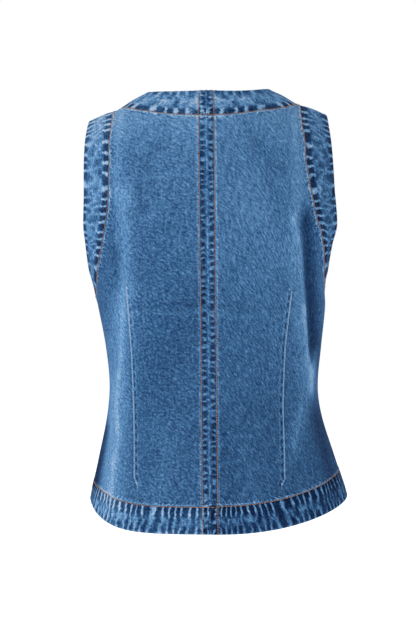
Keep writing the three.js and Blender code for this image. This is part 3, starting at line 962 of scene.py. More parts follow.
BACK_SEWN = {
    ("neck", Side.LEFT): ((11.3, -28.0), (41.1, -26.4), (63.4, -23.6), (91.9, -17.5), (116.0, -9.6)),
    ("neck", Side.RIGHT): (
        (-8.5, -28.2), (-33.8, -26.1), (-65.9, -20.4), (-105.7, -12.4), (-117.0, -7.2)
    ),
    ("arm", Side.LEFT): (
        (131.5, -15.8), (130.8, -44.8), (131.5, -85.9), (132.5, -127.6), (135.4, -156.8),
        (138.4, -180.6), (141.8, -200.3), (144.9, -214.8), (146.7, -222.7), (150.5, -245.0),
    ),
    ("arm", Side.RIGHT): (
        (-127.5, -8.0), (-127.0, -41.7), (-129.6, -82.9), (-134.1, -108.8), (-136.8, -127.4),
        (-140.8, -143.1), (-146.1, -168.2), (-152.4, -187.8), (-156.2, -204.9), (-157.2, -220.0),
    ),
    ("hem", Side.LEFT): (
        (107.8, -540.4), (127.0, -535.8), (129.5, -532.6), (146.0, -528.0), (155.5, -525.0)
    ),
}
DARTS = {
    "back_left": (
        (107.2, -256.5), (106.1, -286.8), (102.6, -339.4), (100.2, -385.4), (97.8, -457.7),
        (97.3, -507.7), (93.5, -516.0),
    ),
    "back_right": (
        (-110.9, -263.0), (-106.5, -299.9), (-102.6, -336.7), (-100.9, -378.8), (-99.5, -411.7),
        (-100.2, -457.7), (-100.9, -509.0), (-97.0, -516.0),
    ),
    "front_left": ((96.0, -262.0), (94.0, -320.0), (92.0, -385.0), (94.0, -450.0), (97.0, -506.0)),
    "front_right": (
        (-95.0, -260.0), (-94.0, -322.0), (-91.0, -386.0), (-94.0, -452.0), (-98.0, -508.0)
    ),
}


@dataclass
class Tailoring:
    """All that is sewn on the cloth: bands, seams and darts, with the relief they make."""

    cut: Cut
    seam_half: float = 10.0
    seam_pitch: float = 9.5
    dart_pitch: float = 12.5
    neck: Band = Band(38.6, 12.0, 0.45, 0.7)
    front: Band = Band(37.0, 14.0, 0.4, 1.9)
    arm: Band = Band(38.4, 12.5, 0.5, 2.6)
    hem: Band = Band(36.6, 9.6, 0.55, 4.1)
    # Tone of each band, left then right; a right tone darker than the left is painted shade.
    band_tones_and_shading: dict[str, tuple[float, float]] = field(
        default_factory=lambda: {"neck": (-0.04, -0.04), "arm": (0.05, -0.09), "hem": (0.1, -0.04)}
    )
    seam_widths: dict[tuple[str, Side], float] = field(
        default_factory=lambda: {
            ("arm", Side.LEFT): 37.0,
            ("arm", Side.RIGHT): 21.0,
            ("hem", Side.LEFT): 25.0,
        }
    )
    seam_reach: float = 75.0
    past_hem: float = 10.0
    past_neck: float = 6.0
    crease_calm: float = 30.0
    band_calm: float = 6.0
    # Reach over which the crease tones, painted shade and highlights among them, fade in from the seams.
    wear_and_shading_calm: float = 5.0
    lines: dict[str, dict[str, Points]] = field(default_factory=dict)
    widths: dict[tuple[str, str], Array] = field(default_factory=dict)

    def line(self, panel: Panel, places: Places, count: int) -> Points:
        """A curve of places as a polyline of points on the smooth surface."""
        return self.cut.points(panel, self.cut.respace(panel, places, self.cut.even(count)))

    def edges(self, panel: Panel) -> dict[str, Points]:
        """The panel's sewn lines, kept after the first call.

        Args:
            panel: The panel.

        Returns:
            Polylines by name.
        """
        if panel.name not in self.lines:
            cut, found = self.cut, {}
            angles = np.linspace(cut.hem_start, QUARTER, 300)
            if panel.face is Face.BACK:
                top = cut.back_neck_height + self.past_neck
                seam = cut.back_seam(panel, cut.hem_height - self.past_hem, top)
                found["neck"] = self.line(panel, cut.back_neck(panel), 60)
                found["seam"] = self.line(panel, seam, 150)
            else:
                straight = cut.front_edge(panel, cut.hem_height - self.past_hem, cut.v_height)
                edge = np.concatenate((straight, cut.front_neck(panel)[1:]))
                found["neck"] = self.line(panel, edge, 200)
            found["arm"] = self.line(panel, cut.arm_edge(panel), 120)
            found["hem"] = self.line(panel, cut.hem_place(panel.side, angles), 140)
            found["dart"] = cut.points(panel, self.dart_places(panel))[::2]
            self.lines[panel.name] = found
        return self.lines[panel.name]

    def dart_places(self, panel: Panel) -> Places:
        """The dart of a panel, from its sideways places and heights.

        Args:
            panel: The panel.

        Returns:
            Places along the dart.
        """
        table = np.array(DARTS[panel.name])
        part = np.linspace(0, len(table) - 1, 160)
        x = np.interp(part, np.arange(len(table)), table[:, 0])
        height = np.interp(part, np.arange(len(table)), table[:, 1])
        angle = self.cut.form.angle_at(panel.side, x, height)
        return self.cut.form.at_height(panel.side, angle, height)

    def measure(self, panel: Panel, points: Points) -> Known:
        """Distance from each sewn line and the way along it, for all points of a panel."""
        return {n: nearest_on_line(points, line) for n, line in self.edges(panel).items()}

    def bands(self, panel: Panel) -> dict[str, Band]:
        """The bands of a panel by the name of their edge."""
        front = panel.face is Face.FRONT
        return {"neck": self.front if front else self.neck, "arm": self.arm, "hem": self.hem}

    def width(self, panel: Panel, name: str, along: Array) -> Array:
        """Distance of a band's stitching from its edge.

        On the back the stitching follows measured places, whose distances from the edge
        are joined by straight lines. On the front it keeps the band's own width up to a
        reach from the side seam, where it eases to the width that the back has there.

        Args:
            panel: The panel.
            name: Name of the edge.
            along: Way along the edge.

        Returns:
            One distance in millimetres for each way.
        """
        key = (panel.name, name)
        if key not in self.widths:
            self.widths[key] = self.width_table(panel, name)
        return np.interp(along, *self.widths[key])

    def width_table(self, panel: Panel, name: str) -> Array:
        """Ways along an edge and the widths there, as two rows.

        Args:
            panel: The panel.
            name: Name of the edge.

        Returns:
            The table that width reads.
        """
        nominal = self.bands(panel)[name].width
        line, form = self.edges(panel)[name], self.cut.form
        whole = float(way_along(line)[-1])
        at_seam = self.seam_widths.get((name, panel.side))
        ends, inner = (0.0, self.seam_reach) if name == "arm" else (whole, whole - self.seam_reach)
        if panel.face is Face.FRONT or (name, panel.side) not in BACK_SEWN:
            table = np.array([[inner, ends], [nominal, at_seam or nominal]])
            return table[:, np.argsort(table[0])]
        x, height = np.array(BACK_SEWN[(name, panel.side)]).T
        places = form.at_height(panel.side, form.angle_at(panel.side, x, height), height)
        distance, way = nearest_on_line(self.cut.points(panel, places), line)
        if at_seam is not None:
            distance, way = np.append(distance, at_seam), np.append(way, ends)
        order = np.argsort(way)
        return np.stack((way[order], distance[order]))

    def calm(self, points: Points, reach: float) -> Array:
        """A share that is 0 on the side and shoulder seams and 1 past a reach from them."""
        return smoothstep(np.abs(points[..., 1]), 0.0, reach)

    def seam_turns(self, along: Array) -> Array:
        """Count of the ripples along the centre seam: the way over their pitch, and a drift."""
        drift = 0.3 * np.sin(along / 19.0) + 0.22 * np.sin(along / 7.7 + 1.0)
        return along / self.seam_pitch + drift

    def seam_relief(self, across: Array, along: Array) -> Array:
        """Relief of the felled centre seam.

        A low strip between its two rows of stitching, a narrow crest on the seam itself,
        grooves under the rows, and cross ripples that pull between the rows.

        Args:
            across: Distance from the seam.
            along: Way along the seam.

        Returns:
            Millimetres of lift.
        """
        half = self.seam_half
        ripple = np.sin(2 * np.pi * self.seam_turns(along))
        strip = 1 - smoothstep(across, half - 0.5, half + 2.0)
        crest = 0.5 * bell(across, 0.0, 1.5) - 0.3 * bell(across, 3.5, 1.6)
        groove = 0.45 * bell(across, half + 2.8, 1.6) - 0.45 * bell(across, half, 1.3)
        pull = 0.5 * bell(across, half - 2.0, 4.0)
        return 0.4 * strip + crest + groove + ripple * pull * smoothstep(across, 0.0, 2.0)

    def dart_turns(self, along: Array) -> Array:
        """Count of the ripples along a dart: the way over their pitch, with a slow drift."""
        return along / self.dart_pitch + 0.3 * np.sin(along / 17.0)

    def dart_side(self, panel: Panel, points: Points, known: tuple[Array, Array]) -> Array:
        """Distance from the dart, negative on the side of the vest's centre.

        Args:
            panel: The panel.
            points: Points of the smooth surface.
            known: Distance from the dart and way along it.

        Returns:
            Signed distances in millimetres.
        """
        line = self.edges(panel)["dart"]
        nearest = np.interp(known[1], way_along(line), np.abs(line[:, 0]))
        return np.where(np.abs(points[..., 0]) < nearest, -known[0], known[0])

    def dart_relief(self, across: Array, along: Array) -> Array:
        """Relief of a dart: a groove on the seam, a low ridge beside it, and short ripples.

        Args:
            across: Signed distance from the dart.
            along: Way along it.

        Returns:
            Millimetres of lift.
        """
        ripple = np.sin(2 * np.pi * self.dart_turns(along))
        fade = bell(across, -3.0, 4.0)
        return 0.35 * bell(across, -4.6, 2.0) - 0.45 * bell(across, 0.0, 1.7) + 0.22 * ripple * fade

    def relief(self, panel: Panel, points: Points, known: Known) -> Array:
        """Total outward lift of the cloth over the smooth surface.

        The creases, faded out at the side and shoulder seams, plus bands, seam and dart.

        Args:
            panel: The panel.
            points: Points of the smooth surface.
            known: What measure found for those points.

        Returns:
            Millimetres of lift.
        """
        lift = sum(c.lift * c.strength(panel, points) for c in CREASES)
        lift = lift * self.calm(points, self.crease_calm)
        calm = self.calm(points, self.band_calm)
        for name, band in self.bands(panel).items():
            inside, along = known[name]
            lift = lift + band.relief(along, inside, self.width(panel, name, along), calm)
        if "seam" in known:
            lift = lift + self.seam_relief(*known["seam"])
        across = self.dart_side(panel, points, known["dart"])
        lift = lift + self.dart_relief(across, known["dart"][1])
        return lift - self.cut.form.tuck(panel, points)

    def wear_and_shading(self, panel: Panel, points: Points, known: Known) -> Array:
        """Broad tone of the cloth: creases, the tone of each band, and the upper back.

        This is partly real fading and partly painted light and shade.

        Args:
            panel: The panel.
            points: Points of the smooth surface.
            known: What measure found for those points.

        Returns:
            Tone, positive where paler.
        """
        # Crease tones: partly real rubbing, partly painted shade in troughs and painted highlights where
        # folds face the light.
        tone = sum(c.wear_and_shading * c.strength(panel, points) for c in CREASES)
        tone = tone * self.calm(points, self.wear_and_shading_calm)
        height, left = points[..., 2], panel.side is Side.LEFT
        # Painted light: upper back and shoulders lighter, the shoulders more on the left.
        tone = tone + 0.10 * smoothstep(height, -300.0, -110.0)
        tone = tone + (0.14 if left else 0.07) * smoothstep(height, -90.0, -25.0)
        # Painted light and shade by height, different on the left and right sides.
        if left:
            tone = tone - 0.03 * bell(height, -290.0, 110.0)
        else:
            tone = tone + 0.05 * bell(height, -230.0, 110.0) - 0.04 * bell(height, -480.0, 90.0)
        if "seam" in known:
            share = 1 - smoothstep(known["seam"][0], self.seam_half - 1.0, self.seam_half + 1.0)
            tone = tone + share * (0.03 - 0.11 * smoothstep(height, -350.0, -60.0))
        # Each band's tone, left or right; the darker right tones are partly painted shade.
        for name in self.bands(panel):
            inside, along = known[name]
            share = 1 - smoothstep(inside - self.width(panel, name, along), -0.5, 1.0)
            tone = tone + self.band_tones_and_shading[name][0 if left else 1] * share
        return tone


@dataclass(frozen=True)
class Weld:
    """Blocks of a surface joined into one list of vertices and triangles."""

    points: Points
    places: Places
    triangles: Array


def merge_near(points: Points, faces: Array, fineness: int) -> tuple[Array, Array]:
    """Finds points that fall in the same small cube, and lets faces share them.

    Args:
        points: Points in millimetres.
        faces: Rows of point numbers.
        fineness: Cubes in a millimetre.

    Returns:
        Number of the first point in each cube, and the faces in terms of the cubes.
    """
    keys = np.round(points * fineness).astype(np.int64)
    _, first, inverse = np.unique(keys, axis=0, return_index=True, return_inverse=True)
    return first, inverse.reshape(-1)[faces]


def sound(triangles: Array) -> Array:
    """The triangles with three different corners."""
    i, j, k = triangles.T
    return triangles[(i != j) & (j != k) & (k != i)]


def open_rim(triangles: Array, count: int) -> Array:
    """Edges that bound a surface: no triangle runs along them the other way.

    Args:
        triangles: The surface.
        count: Number of its points, by which an edge's two ends make one code.

    Returns:
        The two ends of each such edge.
    """
    pairs = np.concatenate((triangles[:, [0, 1]], triangles[:, [1, 2]], triangles[:, [2, 0]]))
    code, back = pairs @ (count, 1), pairs @ (1, count)
    return pairs[~np.isin(code, back)]


def tube_faces(rings: int, sides: int) -> Array:
    """Triangles of a closed tube of rings, with its two poles after the last ring.

    Args:
        rings: Number of rings.
        sides: Points round each ring.

    Returns:
        Two triangles for each square between two rings, then a fan at each end.
    """
    row, column = np.meshgrid(np.arange(rings - 1), np.arange(sides), indexing="ij")
    a, b = row * sides + column, row * sides + (column + 1) % sides
    lower = np.stack((a, b, b + sides), -1).reshape(-1, 3)
    upper = np.stack((a, b + sides, a + sides), -1).reshape(-1, 3)
    here, pole, last = np.arange(sides), np.full(sides, rings * sides), (rings - 1) * sides
    after = (here + 1) % sides
    foot = np.stack((after, here, pole), -1)
    head = np.stack((last + here, last + after, pole + 1), -1)
    return np.concatenate((lower, upper, foot, head))


def weld_blocks(cut: Cut, panel: Panel, blocks: list[Places]) -> Weld:
    """Joins grids of places whose edges coincide, and turns every face outwards.

    Args:
        cut: The cut, whose form gives the points.
        panel: The panel that the grids are on.
        blocks: Grids of places.

    Returns:
        The welded surface, without triangles that have shrunk to a line.
    """
    flat, quads, offset = [], [], 0
    for grid in blocks:
        rows, columns = grid.shape[:2]
        index = np.arange(rows * columns).reshape(rows, columns) + offset
        corners = (index[:-1, :-1], index[:-1, 1:], index[1:, 1:], index[1:, :-1])
        quads.append(np.stack(corners, axis=-1).reshape(-1, 4))
        flat.append(grid.reshape(-1, 2))
        offset += rows * columns
    places = np.concatenate(flat)
    quad = np.concatenate(quads)
    points = cut.points(panel, places)
    first, quad = merge_near(points, quad, BLOCK_FINENESS)
    points, places = points[first], places[first]
    normal = cut.form.frame(panel, places[:, 0], places[:, 1])[2]
    a, b, c, d = (points[quad[:, k]] for k in range(4))
    turn = (np.cross(c - a, d - b) * normal[quad[:, 0]]).sum(1)
    quad[turn < 0] = quad[turn < 0][:, ::-1]
    return Weld(points, places, sound(np.concatenate((quad[:, [0, 1, 2]], quad[:, [0, 2, 3]]))))


def close_shell(outer: Points, inner: Points, triangles: Array) -> tuple[Points, Array]:
    """Closes two faces of cloth into a shell, with a rounded rim along each open edge.

    The rim passes through a middle row that stands out from the edge by a small way, so
    that the edge of the cloth looks turned and not cut square.

    Args:
        outer: Points of the outer face.
        inner: The same points on the inner face.
        triangles: Triangles of the outer face.

    Returns:
        All points, and all triangles.
    """
    count = len(outer)
    rim = open_rim(triangles, count)
    ends = np.unique(rim)
    slot = np.full(count, -1)
    slot[ends] = 2 * count + np.arange(len(ends))
    away = np.zeros_like(outer)
    step = outer[rim[:, 1]] - outer[rim[:, 0]]
    wall = outer[rim[:, 0]] - inner[rim[:, 0]]
    side = np.cross(step, wall)
    np.add.at(away, rim[:, 0], side)
    np.add.at(away, rim[:, 1], side)
    middle = (outer[ends] + inner[ends]) / 2 + unit(away[ends]) * RIM_BULGE
    i, j = rim[:, 0], rim[:, 1]
    mi, mj = slot[i], slot[j]
    faces = [
        triangles,
        triangles[:, [0, 2, 1]] + count,
        np.stack((j, i, mi), 1),
        np.stack((j, mi, mj), 1),
        np.stack((mj, mi, i + count), 1),
        np.stack((mj, i + count, j + count), 1),
    ]
    return np.concatenate((outer, inner, middle)), np.concatenate(faces)


def make_object(name: str, points: Points, triangles: Array) -> bpy.types.Object:
    """Puts points and triangles into a smooth mesh object at the origin.

    Args:
        name: Name of the object and its mesh.
        points: Points in millimetres.
        triangles: Triangles.

    Returns:
        The new object.
    """
    mesh = bpy.data.meshes.new(name)
    mesh.from_pydata((points * MILLIMETRE).tolist(), [], triangles.tolist())
    mesh.validate()
    mesh.shade_smooth()
    obj = bpy.data.objects.new(name, mesh)
    bpy.context.scene.collection.objects.link(obj)
    return obj


def add_values(obj: bpy.types.Object, name: str, values: Array) -> None:
    """Writes what a material reads at each vertex.

    Args:
        obj: The piece.
        name: The name that the material asks for.
        values: One number or three for each vertex.
    """
    kind, part = ("FLOAT", "value") if values.ndim == 1 else ("FLOAT_VECTOR", "vector")
    layer = obj.data.attributes.new(name, kind, "POINT")
    layer.data.foreach_set(part, values.astype(np.float32).ravel())


def add_cloth_map(obj: bpy.types.Object, flat: Array) -> None:
    """Writes the cloth's own flat coordinates as a UV map.

    Args:
        obj: The piece.
        flat: Flat place of each vertex, in metres.
    """
    mesh = obj.data
    corners = np.empty(len(mesh.loops), dtype=np.int32)
    mesh.loops.foreach_get("vertex_index", corners)
    layer = mesh.uv_layers.new(name="Cloth")
    layer.data.foreach_set("uv", flat[corners].astype(np.float32).ravel())


class Graph:
    """A node tree with short calls for the nodes that cloth needs."""

    def __init__(self, tree: bpy.types.NodeTree) -> None:
        """Keeps the tree to work in."""
        self.tree = tree

    def put(self, node: bpy.types.Node, values: dict[str | int, object]) -> None:
        """Feeds inputs of a node: links them to outputs of others, or sets their own values.

        Args:
            node: The node.
            values: Outputs or plain values by the name or number of the input.
        """
        for name, value in values.items():
            if isinstance(value, Socket):
                self.tree.links.new(value, node.inputs[name])
            else:
                node.inputs[name].default_value = value

    def add(
        self, kind: str, values: dict[str | int, object] | None = None, **settings: object
    ) -> bpy.types.Node:
        """Adds a node.

        Args:
            kind: The kind of node, by its type's name.
            values: What its inputs are fed.
            settings: Properties of the node by name.

        Returns:
            The new node.
        """
        node = self.tree.nodes.new(kind)
        for name, value in settings.items():
            setattr(node, name, value)
        self.put(node, values or {})
        return node

    def math(self, operation: str, *values: object, clamp: bool = False) -> Socket:
        """One step of arithmetic on up to three values, kept from 0 to 1 if clamp is true."""
        fed = dict(enumerate(values))
        return self.add("ShaderNodeMath", fed, operation=operation, use_clamp=clamp).outputs[0]

    def times(self, first: object, second: object) -> Socket:
        """The product of two values."""
        return self.math("MULTIPLY", first, second)

    def tint(self, base: object, *shares: tuple[object, object]) -> Socket:
        """Adds values by their shares.

        Args:
            base: What to start from.
            shares: Pairs of a value and its share, whose products are added in turn.

        Returns:
            The sum.
        """
        for value, share in shares:
            base = self.math("MULTIPLY_ADD", value, share, base)
        return base

    def wave(self, turns: object, cycles: float = 1.0) -> Socket:
        """The sine of a count of turns, with some cycles for each turn."""
        return self.math("SINE", self.times(turns, cycles * 2 * math.pi))

    def rise(self, value: object, low: float, high: float) -> Socket:
        """A smooth rise from 0 at low to 1 at high; low above high makes it fall."""
        fed = {"Value": value, "From Min": low, "From Max": high}
        return self.add("ShaderNodeMapRange", fed, interpolation_type="SMOOTHSTEP").outputs["Result"]

    def bell(self, value: object, middle: object, reach: float) -> Socket:
        """A bump of height 1: one less the smooth rise of the distance over the reach."""
        away = self.math("ABSOLUTE", self.math("SUBTRACT", value, middle))
        return self.rise(away, reach, 0.0)

    def noise(self, vector: object, scale: float, detail: float = 2.0, rough: float = 0.5) -> Socket:
        """Smooth noise from -1 to 1 or nearly, with finer layers that have a share each."""
        fed = {"Vector": vector, "Scale": scale, "Detail": detail, "Roughness": rough}
        return self.math("MULTIPLY_ADD", self.add("ShaderNodeTexNoise", fed).outputs[0], 2.6, -1.3)

    def place(self, vector: object, turn: float, scale: tuple[float, float, float]) -> Socket:
        """A vector turned about Z and then stretched."""
        turned = self.add("ShaderNodeMapping", {"Vector": vector, "Rotation": (0.0, 0.0, turn)})
        return self.add("ShaderNodeMapping", {"Vector": turned.outputs[0], "Scale": scale}).outputs[0]

    def split(self, vector: object) -> tuple[Socket, ...]:
        """The three parts of a vector."""
        return tuple(self.add("ShaderNodeSeparateXYZ", {0: vector}).outputs)

    def join(self, x: object, y: object) -> Socket:
        """A flat vector from its two parts."""
        return self.add("ShaderNodeCombineXYZ", {"X": x, "Y": y}).outputs[0]

    def blend(self, share: object, first: object, second: object) -> Socket:
        """A colour between two, by the share of the second."""
        fed = {0: share, 6: first, 7: second}
        return self.add("ShaderNodeMix", fed, data_type="RGBA").outputs[2]

    def ramp(self, value: object, stops: Scale) -> Socket:
        """A colour read from a scale.

        Args:
            value: Where to read, from 0 to 1.
            stops: Positions with display colours.

        Returns:
            The colour.
        """
        node = self.add("ShaderNodeValToRGB", {0: value})
        band = node.color_ramp
        while len(band.elements) < len(stops):
            band.elements.new(1.0)
        for element, (position, colour) in zip(band.elements, stops):
            element.position = position
            element.color = linear(*colour)
        return node.outputs[0]

    def value(self, name: str, output: str = "Fac") -> Socket:
        """What the mesh holds for its vertices under a name."""
        return self.add("ShaderNodeAttribute", attribute_name=name).outputs[output]

    def give(self, tone: object, height: object) -> bpy.types.NodeTree:
        """Ends a node group with its two outputs, and returns it."""
        self.add("NodeGroupOutput", {"Tone": tone, "Height": height})
        return self.tree

    def bump(self, height: object, strength: float, depth: float) -> Socket:
        """A normal bent by a height, of which 1 stands for a depth in metres."""
        fed = {"Strength": strength, "Distance": depth, "Height": height}
        return self.add("ShaderNodeBump", fed).outputs[0]


def new_group(name: str, inputs: dict[str, float | None]) -> tuple[Graph, list[Socket]]:
    """An empty shader node group that will put out a tone and a height.

    Args:
        name: Name of the group.
        inputs: Defaults of its inputs by name; an input without one is a vector.

    Returns:
        The graph, and the inputs as outputs to read from.
    """
    tree = bpy.data.node_groups.new(name, "ShaderNodeTree")
    for label, default in inputs.items():
        kind = "NodeSocketVector" if default is None else "NodeSocketFloat"
        socket = tree.interface.new_socket(label, in_out="INPUT", socket_type=kind)
        if default is not None:
            socket.default_value = default
    for label in ("Tone", "Height"):
        tree.interface.new_socket(label, in_out="OUTPUT", socket_type="NodeSocketFloat")
    graph = Graph(tree)
    return graph, list(graph.add("NodeGroupInput").outputs)


def new_material(name: str) -> tuple[bpy.types.Material, Graph, bpy.types.Node]:
    """An empty material.

    Args:
        name: Its name.

    Returns:
        The material, its graph and its shader.
    """
    material = bpy.data.materials.new(name)
    material.use_nodes = True
    return material, Graph(material.node_tree), material.node_tree.nodes["Principled BSDF"]


@dataclass(frozen=True)
class WeaveEffect:
    """Twill, slubs, fibres and slow fading of the denim, read from its flat coordinates."""

    twill_pitch: float = 0.0011
    twill_angle: float = 0.98
    streak_width: float = 0.0021
    streak_length: float = 0.0052

    def build(self) -> bpy.types.NodeTree:
        """Adds up twill lines, streaks and noise of several sizes by their shares.

        Returns:
            The node group.
        """
        g, (cloth, *_) = new_group("denim_weave", {"Cloth": None})
        turn = self.twill_angle
        across = g.split(g.place(cloth, turn, (1.0, 1.0, 1.0)))[1]
        wobble = g.noise(cloth, 260.0)
        count = g.times(across, 2 * math.pi / self.twill_pitch)
        twill = g.math("SINE", g.tint(count, (wobble, 0.8)))
        stretch = (1 / self.streak_length, 1 / self.streak_width, 1.0)
        streak = g.noise(g.place(cloth, turn, stretch), 1.0, 2.5, 0.6)
        slub = g.noise(g.place(cloth, turn, (60.0, 240.0, 1.0)), 1.0, 1.0)
        fibre = g.noise(cloth, 620.0, 2.0, 0.7)
        mottle = g.noise(cloth, 75.0, 3.0, 0.6)
        fade = g.noise(cloth, 11.0)
        thread = g.noise(g.place(cloth, 0.0, (420.0, 42.0, 1.0)), 1.0)
        tone = g.tint(g.times(streak, 0.32), (slub, 0.07), (fibre, 0.28), (mottle, 0.05))
        tone = g.tint(tone, (fade, 0.05), (thread, 0.1), (twill, 0.03))
        height = g.tint(g.times(twill, 0.5), (streak, 0.6), (fibre, 0.3))
        return g.give(tone, height)


@dataclass(frozen=True)
class BandEffect:
    """Wear of a topstitched band: pale ragged crests with dark hollows between them."""

    line: float = 0.3
    crest: float = 0.3
    hollow: float = 0.34

    def build(self) -> bpy.types.NodeTree:
        """Builds the squares by the stitching and the edge, and the cells between them.

        Place holds the pucker count, the way past the stitching, negative on the band, and
        the distance from the edge. Crests are where the sine of the count is high. Away
        from the stitching, pale lines run along the borders of uneven cells that are as
        long as Length, with cores darker by Core. Edge is the share of the squares that
        the cut edge has, and Spread their reach from the stitching.

        Returns:
            The node group.
        """
        numbers = {"Share": 1.0, "Length": 30.0, "Core": 0.1, "Edge": 0.5, "Spread": 8.0}
        g, sockets = new_group("band_wear_and_shading", {"Place": None, "Cloth": None, **numbers})
        place, cloth, share, length, core_tone, edge_share, spread = sockets[:7]
        count, past, inside = g.split(place)
        ragged = g.noise(cloth, 330.0, 3.0, 0.65)
        patch = g.noise(cloth, 85.0, 2.0, 0.6)
        turns = g.tint(count, (ragged, 0.09), (patch, 0.28))
        rough_wave = g.tint(g.wave(turns), (ragged, 0.3))
        on_band = g.rise(past, 0.6, -0.8)
        crest = g.rise(rough_wave, 0.5, 0.95)
        hollow = g.rise(rough_wave, 0.6, 0.1)
        off_square = g.tint(g.math("ADD", past, 4.0), (patch, 1.5))
        near = g.math("DIVIDE", g.math("ABSOLUTE", off_square), spread)
        by_edge = g.times(g.bell(inside, 3.0, 14.0), edge_share)
        regular = g.math("MAXIMUM", g.rise(near, 1.0, 0.35), by_edge)
        free = g.math("SUBTRACT", 1.0, regular)
        rows = g.tint(g.math("DIVIDE", inside, length), (patch, 0.4))
        cells = g.add("ShaderNodeTexVoronoi", feature="DISTANCE_TO_EDGE", voronoi_dimensions="2D")
        g.put(cells, {"Vector": g.join(g.tint(turns, (ragged, 0.2)), rows), "Scale": 1.1})
        border = g.tint(cells.outputs["Distance"], (ragged, 0.12))
        broken = g.math("MULTIPLY_ADD", g.noise(cloth, 60.0, 2.0, 0.6), 0.6, 0.6, clamp=True)
        line = g.times(g.rise(border, 0.17, 0.0), broken)
        core = g.times(g.times(g.rise(border, 0.14, 0.4), free), core_tone)
        tone = g.times(g.times(crest, regular), self.crest)
        tone = g.tint(tone, (g.times(hollow, regular), -self.hollow), (g.times(line, free), self.line))
        tone = g.math("SUBTRACT", tone, core)
        rim = g.times(g.bell(off_square, -5.0, 2.0), broken)
        tone = g.times(g.tint(tone, (patch, 0.1), (rim, 0.13)), on_band)
        height = g.times(tone, 2.5)
        rubbed = g.times(g.bell(inside, 0.8, 2.4), broken)
        ridge = g.times(g.bell(past, 2.0, 1.6), broken)
        quick = g.wave(g.tint(turns, (patch, 0.6), (past, 0.07)), 2.0)
        tick = g.times(g.rise(quick, 0.1, 0.9), g.bell(past, 2.5, 6.0))
        tick = g.times(g.times(tick, g.rise(past, 0.8, 1.6)), broken)
        shade = g.times(g.rise(quick, 0.2, -0.8), g.bell(past, 3.5, 6.0))
        shade = g.times(shade, g.rise(past, 1.6, 2.6))
        tone = g.tint(tone, (rubbed, 0.14), (ridge, 0.3), (tick, 0.36), (shade, -0.11))
        tone = g.tint(tone, (g.bell(past, -0.9, 1.2), -0.12))
        return g.give(g.times(tone, share), g.times(height, share))


@dataclass(frozen=True)
class SeamEffect:
    """Wear of the felled centre seam: a wavering pale crest and two columns of patches."""

    half: float = 10.0

    def build(self) -> bpy.types.NodeTree:
        """Builds the crest, the patches and the ticks past the stitching.

        Place holds the ripple count, the signed distance and the share.

        Returns:
            The node group.
        """
        g, (place, cloth, *_) = new_group("seam_wear_and_shading", {"Place": None, "Cloth": None})
        count, signed, share = g.split(place)
        across = g.math("ABSOLUTE", signed)
        ragged = g.noise(cloth, 380.0, 3.0, 0.65)
        patch = g.noise(cloth, 100.0, 2.0, 0.6)
        turns = g.tint(count, (ragged, 0.16), (patch, 0.55))
        rough_wave = g.tint(g.wave(turns), (ragged, 0.5))
        strip = g.rise(across, self.half + 0.2, self.half - 0.8)
        wander = g.tint(signed, (patch, 1.8), (ragged, 0.7))
        broken = g.math("MULTIPLY_ADD", patch, 0.7, 0.6, clamp=True)
        crest = g.times(g.bell(wander, 0.3, 1.4), broken)
        column = g.bell(g.tint(across, (patch, 1.2)), self.half * 0.56, 5.2)
        bar = g.rise(rough_wave, 0.4, 0.95)
        hole = g.rise(rough_wave, 0.5, -0.3)
        ridge = g.times(g.bell(across, self.half + 2.0, 1.7), broken)
        tick = g.times(g.rise(g.wave(turns, 2.0), 0.2, 0.9), g.bell(across, self.half + 2.5, 4.0))
        tick = g.times(tick, g.rise(across, self.half + 0.8, self.half + 1.6))
        tone = g.tint(g.times(crest, 0.3), (g.times(bar, column), 0.2))
        tone = g.tint(tone, (g.times(hole, column), -0.29), (g.times(patch, strip), 0.12))
        tone = g.tint(tone, (ridge, 0.24), (tick, 0.08))
        tone = g.tint(tone, (g.bell(across, self.half - 0.9, 1.1), -0.12))
        height = g.times(g.math("SUBTRACT", bar, hole), g.times(column, share))
        return g.give(g.times(tone, share), height)


@dataclass(frozen=True)
class DartEffect:
    """Wear of a dart: a pale seam line with dark dashes and a faint ridge beside it."""

    def build(self) -> bpy.types.NodeTree:
        """Builds the line, and the dashes on the side of the vest's centre.

        Place holds the ripple count, the signed distance and the share.

        Returns:
            The node group.
        """
        g, (place, cloth, *_) = new_group("dart_wear_and_shading", {"Place": None, "Cloth": None})
        count, across, share = g.split(place)
        ragged = g.noise(cloth, 400.0, 2.0, 0.6)
        wave = g.wave(g.tint(count, (ragged, 0.3)))
        line = g.bell(across, 0.1, 1.6)
        outside = g.bell(across, 2.2, 1.9)
        dash = g.times(g.bell(across, -2.9, 2.6), g.rise(wave, 0.3, -0.6))
        step = g.times(g.bell(across, -2.6, 2.6), g.rise(wave, 0.3, 0.9))
        ridge = g.bell(across, -5.4, 1.8)
        tone = g.times(line, g.tint(0.56, (ragged, 0.12)))
        tone = g.tint(tone, (outside, -0.06), (dash, -0.2), (step, 0.08), (ridge, 0.1))
        return g.give(g.times(tone, share), g.times(g.math("SUBTRACT", step, dash), share))


DENIM_SCALE = (
    (0.0, (11, 27, 52)),
    (0.22, (25, 52, 90)),
    (0.45, (49, 87, 129)),
    (0.66, (85, 131, 177)),
    (0.82, (113, 159, 201)),
    (1.0, (176, 192, 211)),
)
REVERSE_SCALE = ((0.0, (92, 112, 136)), (0.5, (134, 151, 170)), (1.0, (176, 188, 200)))


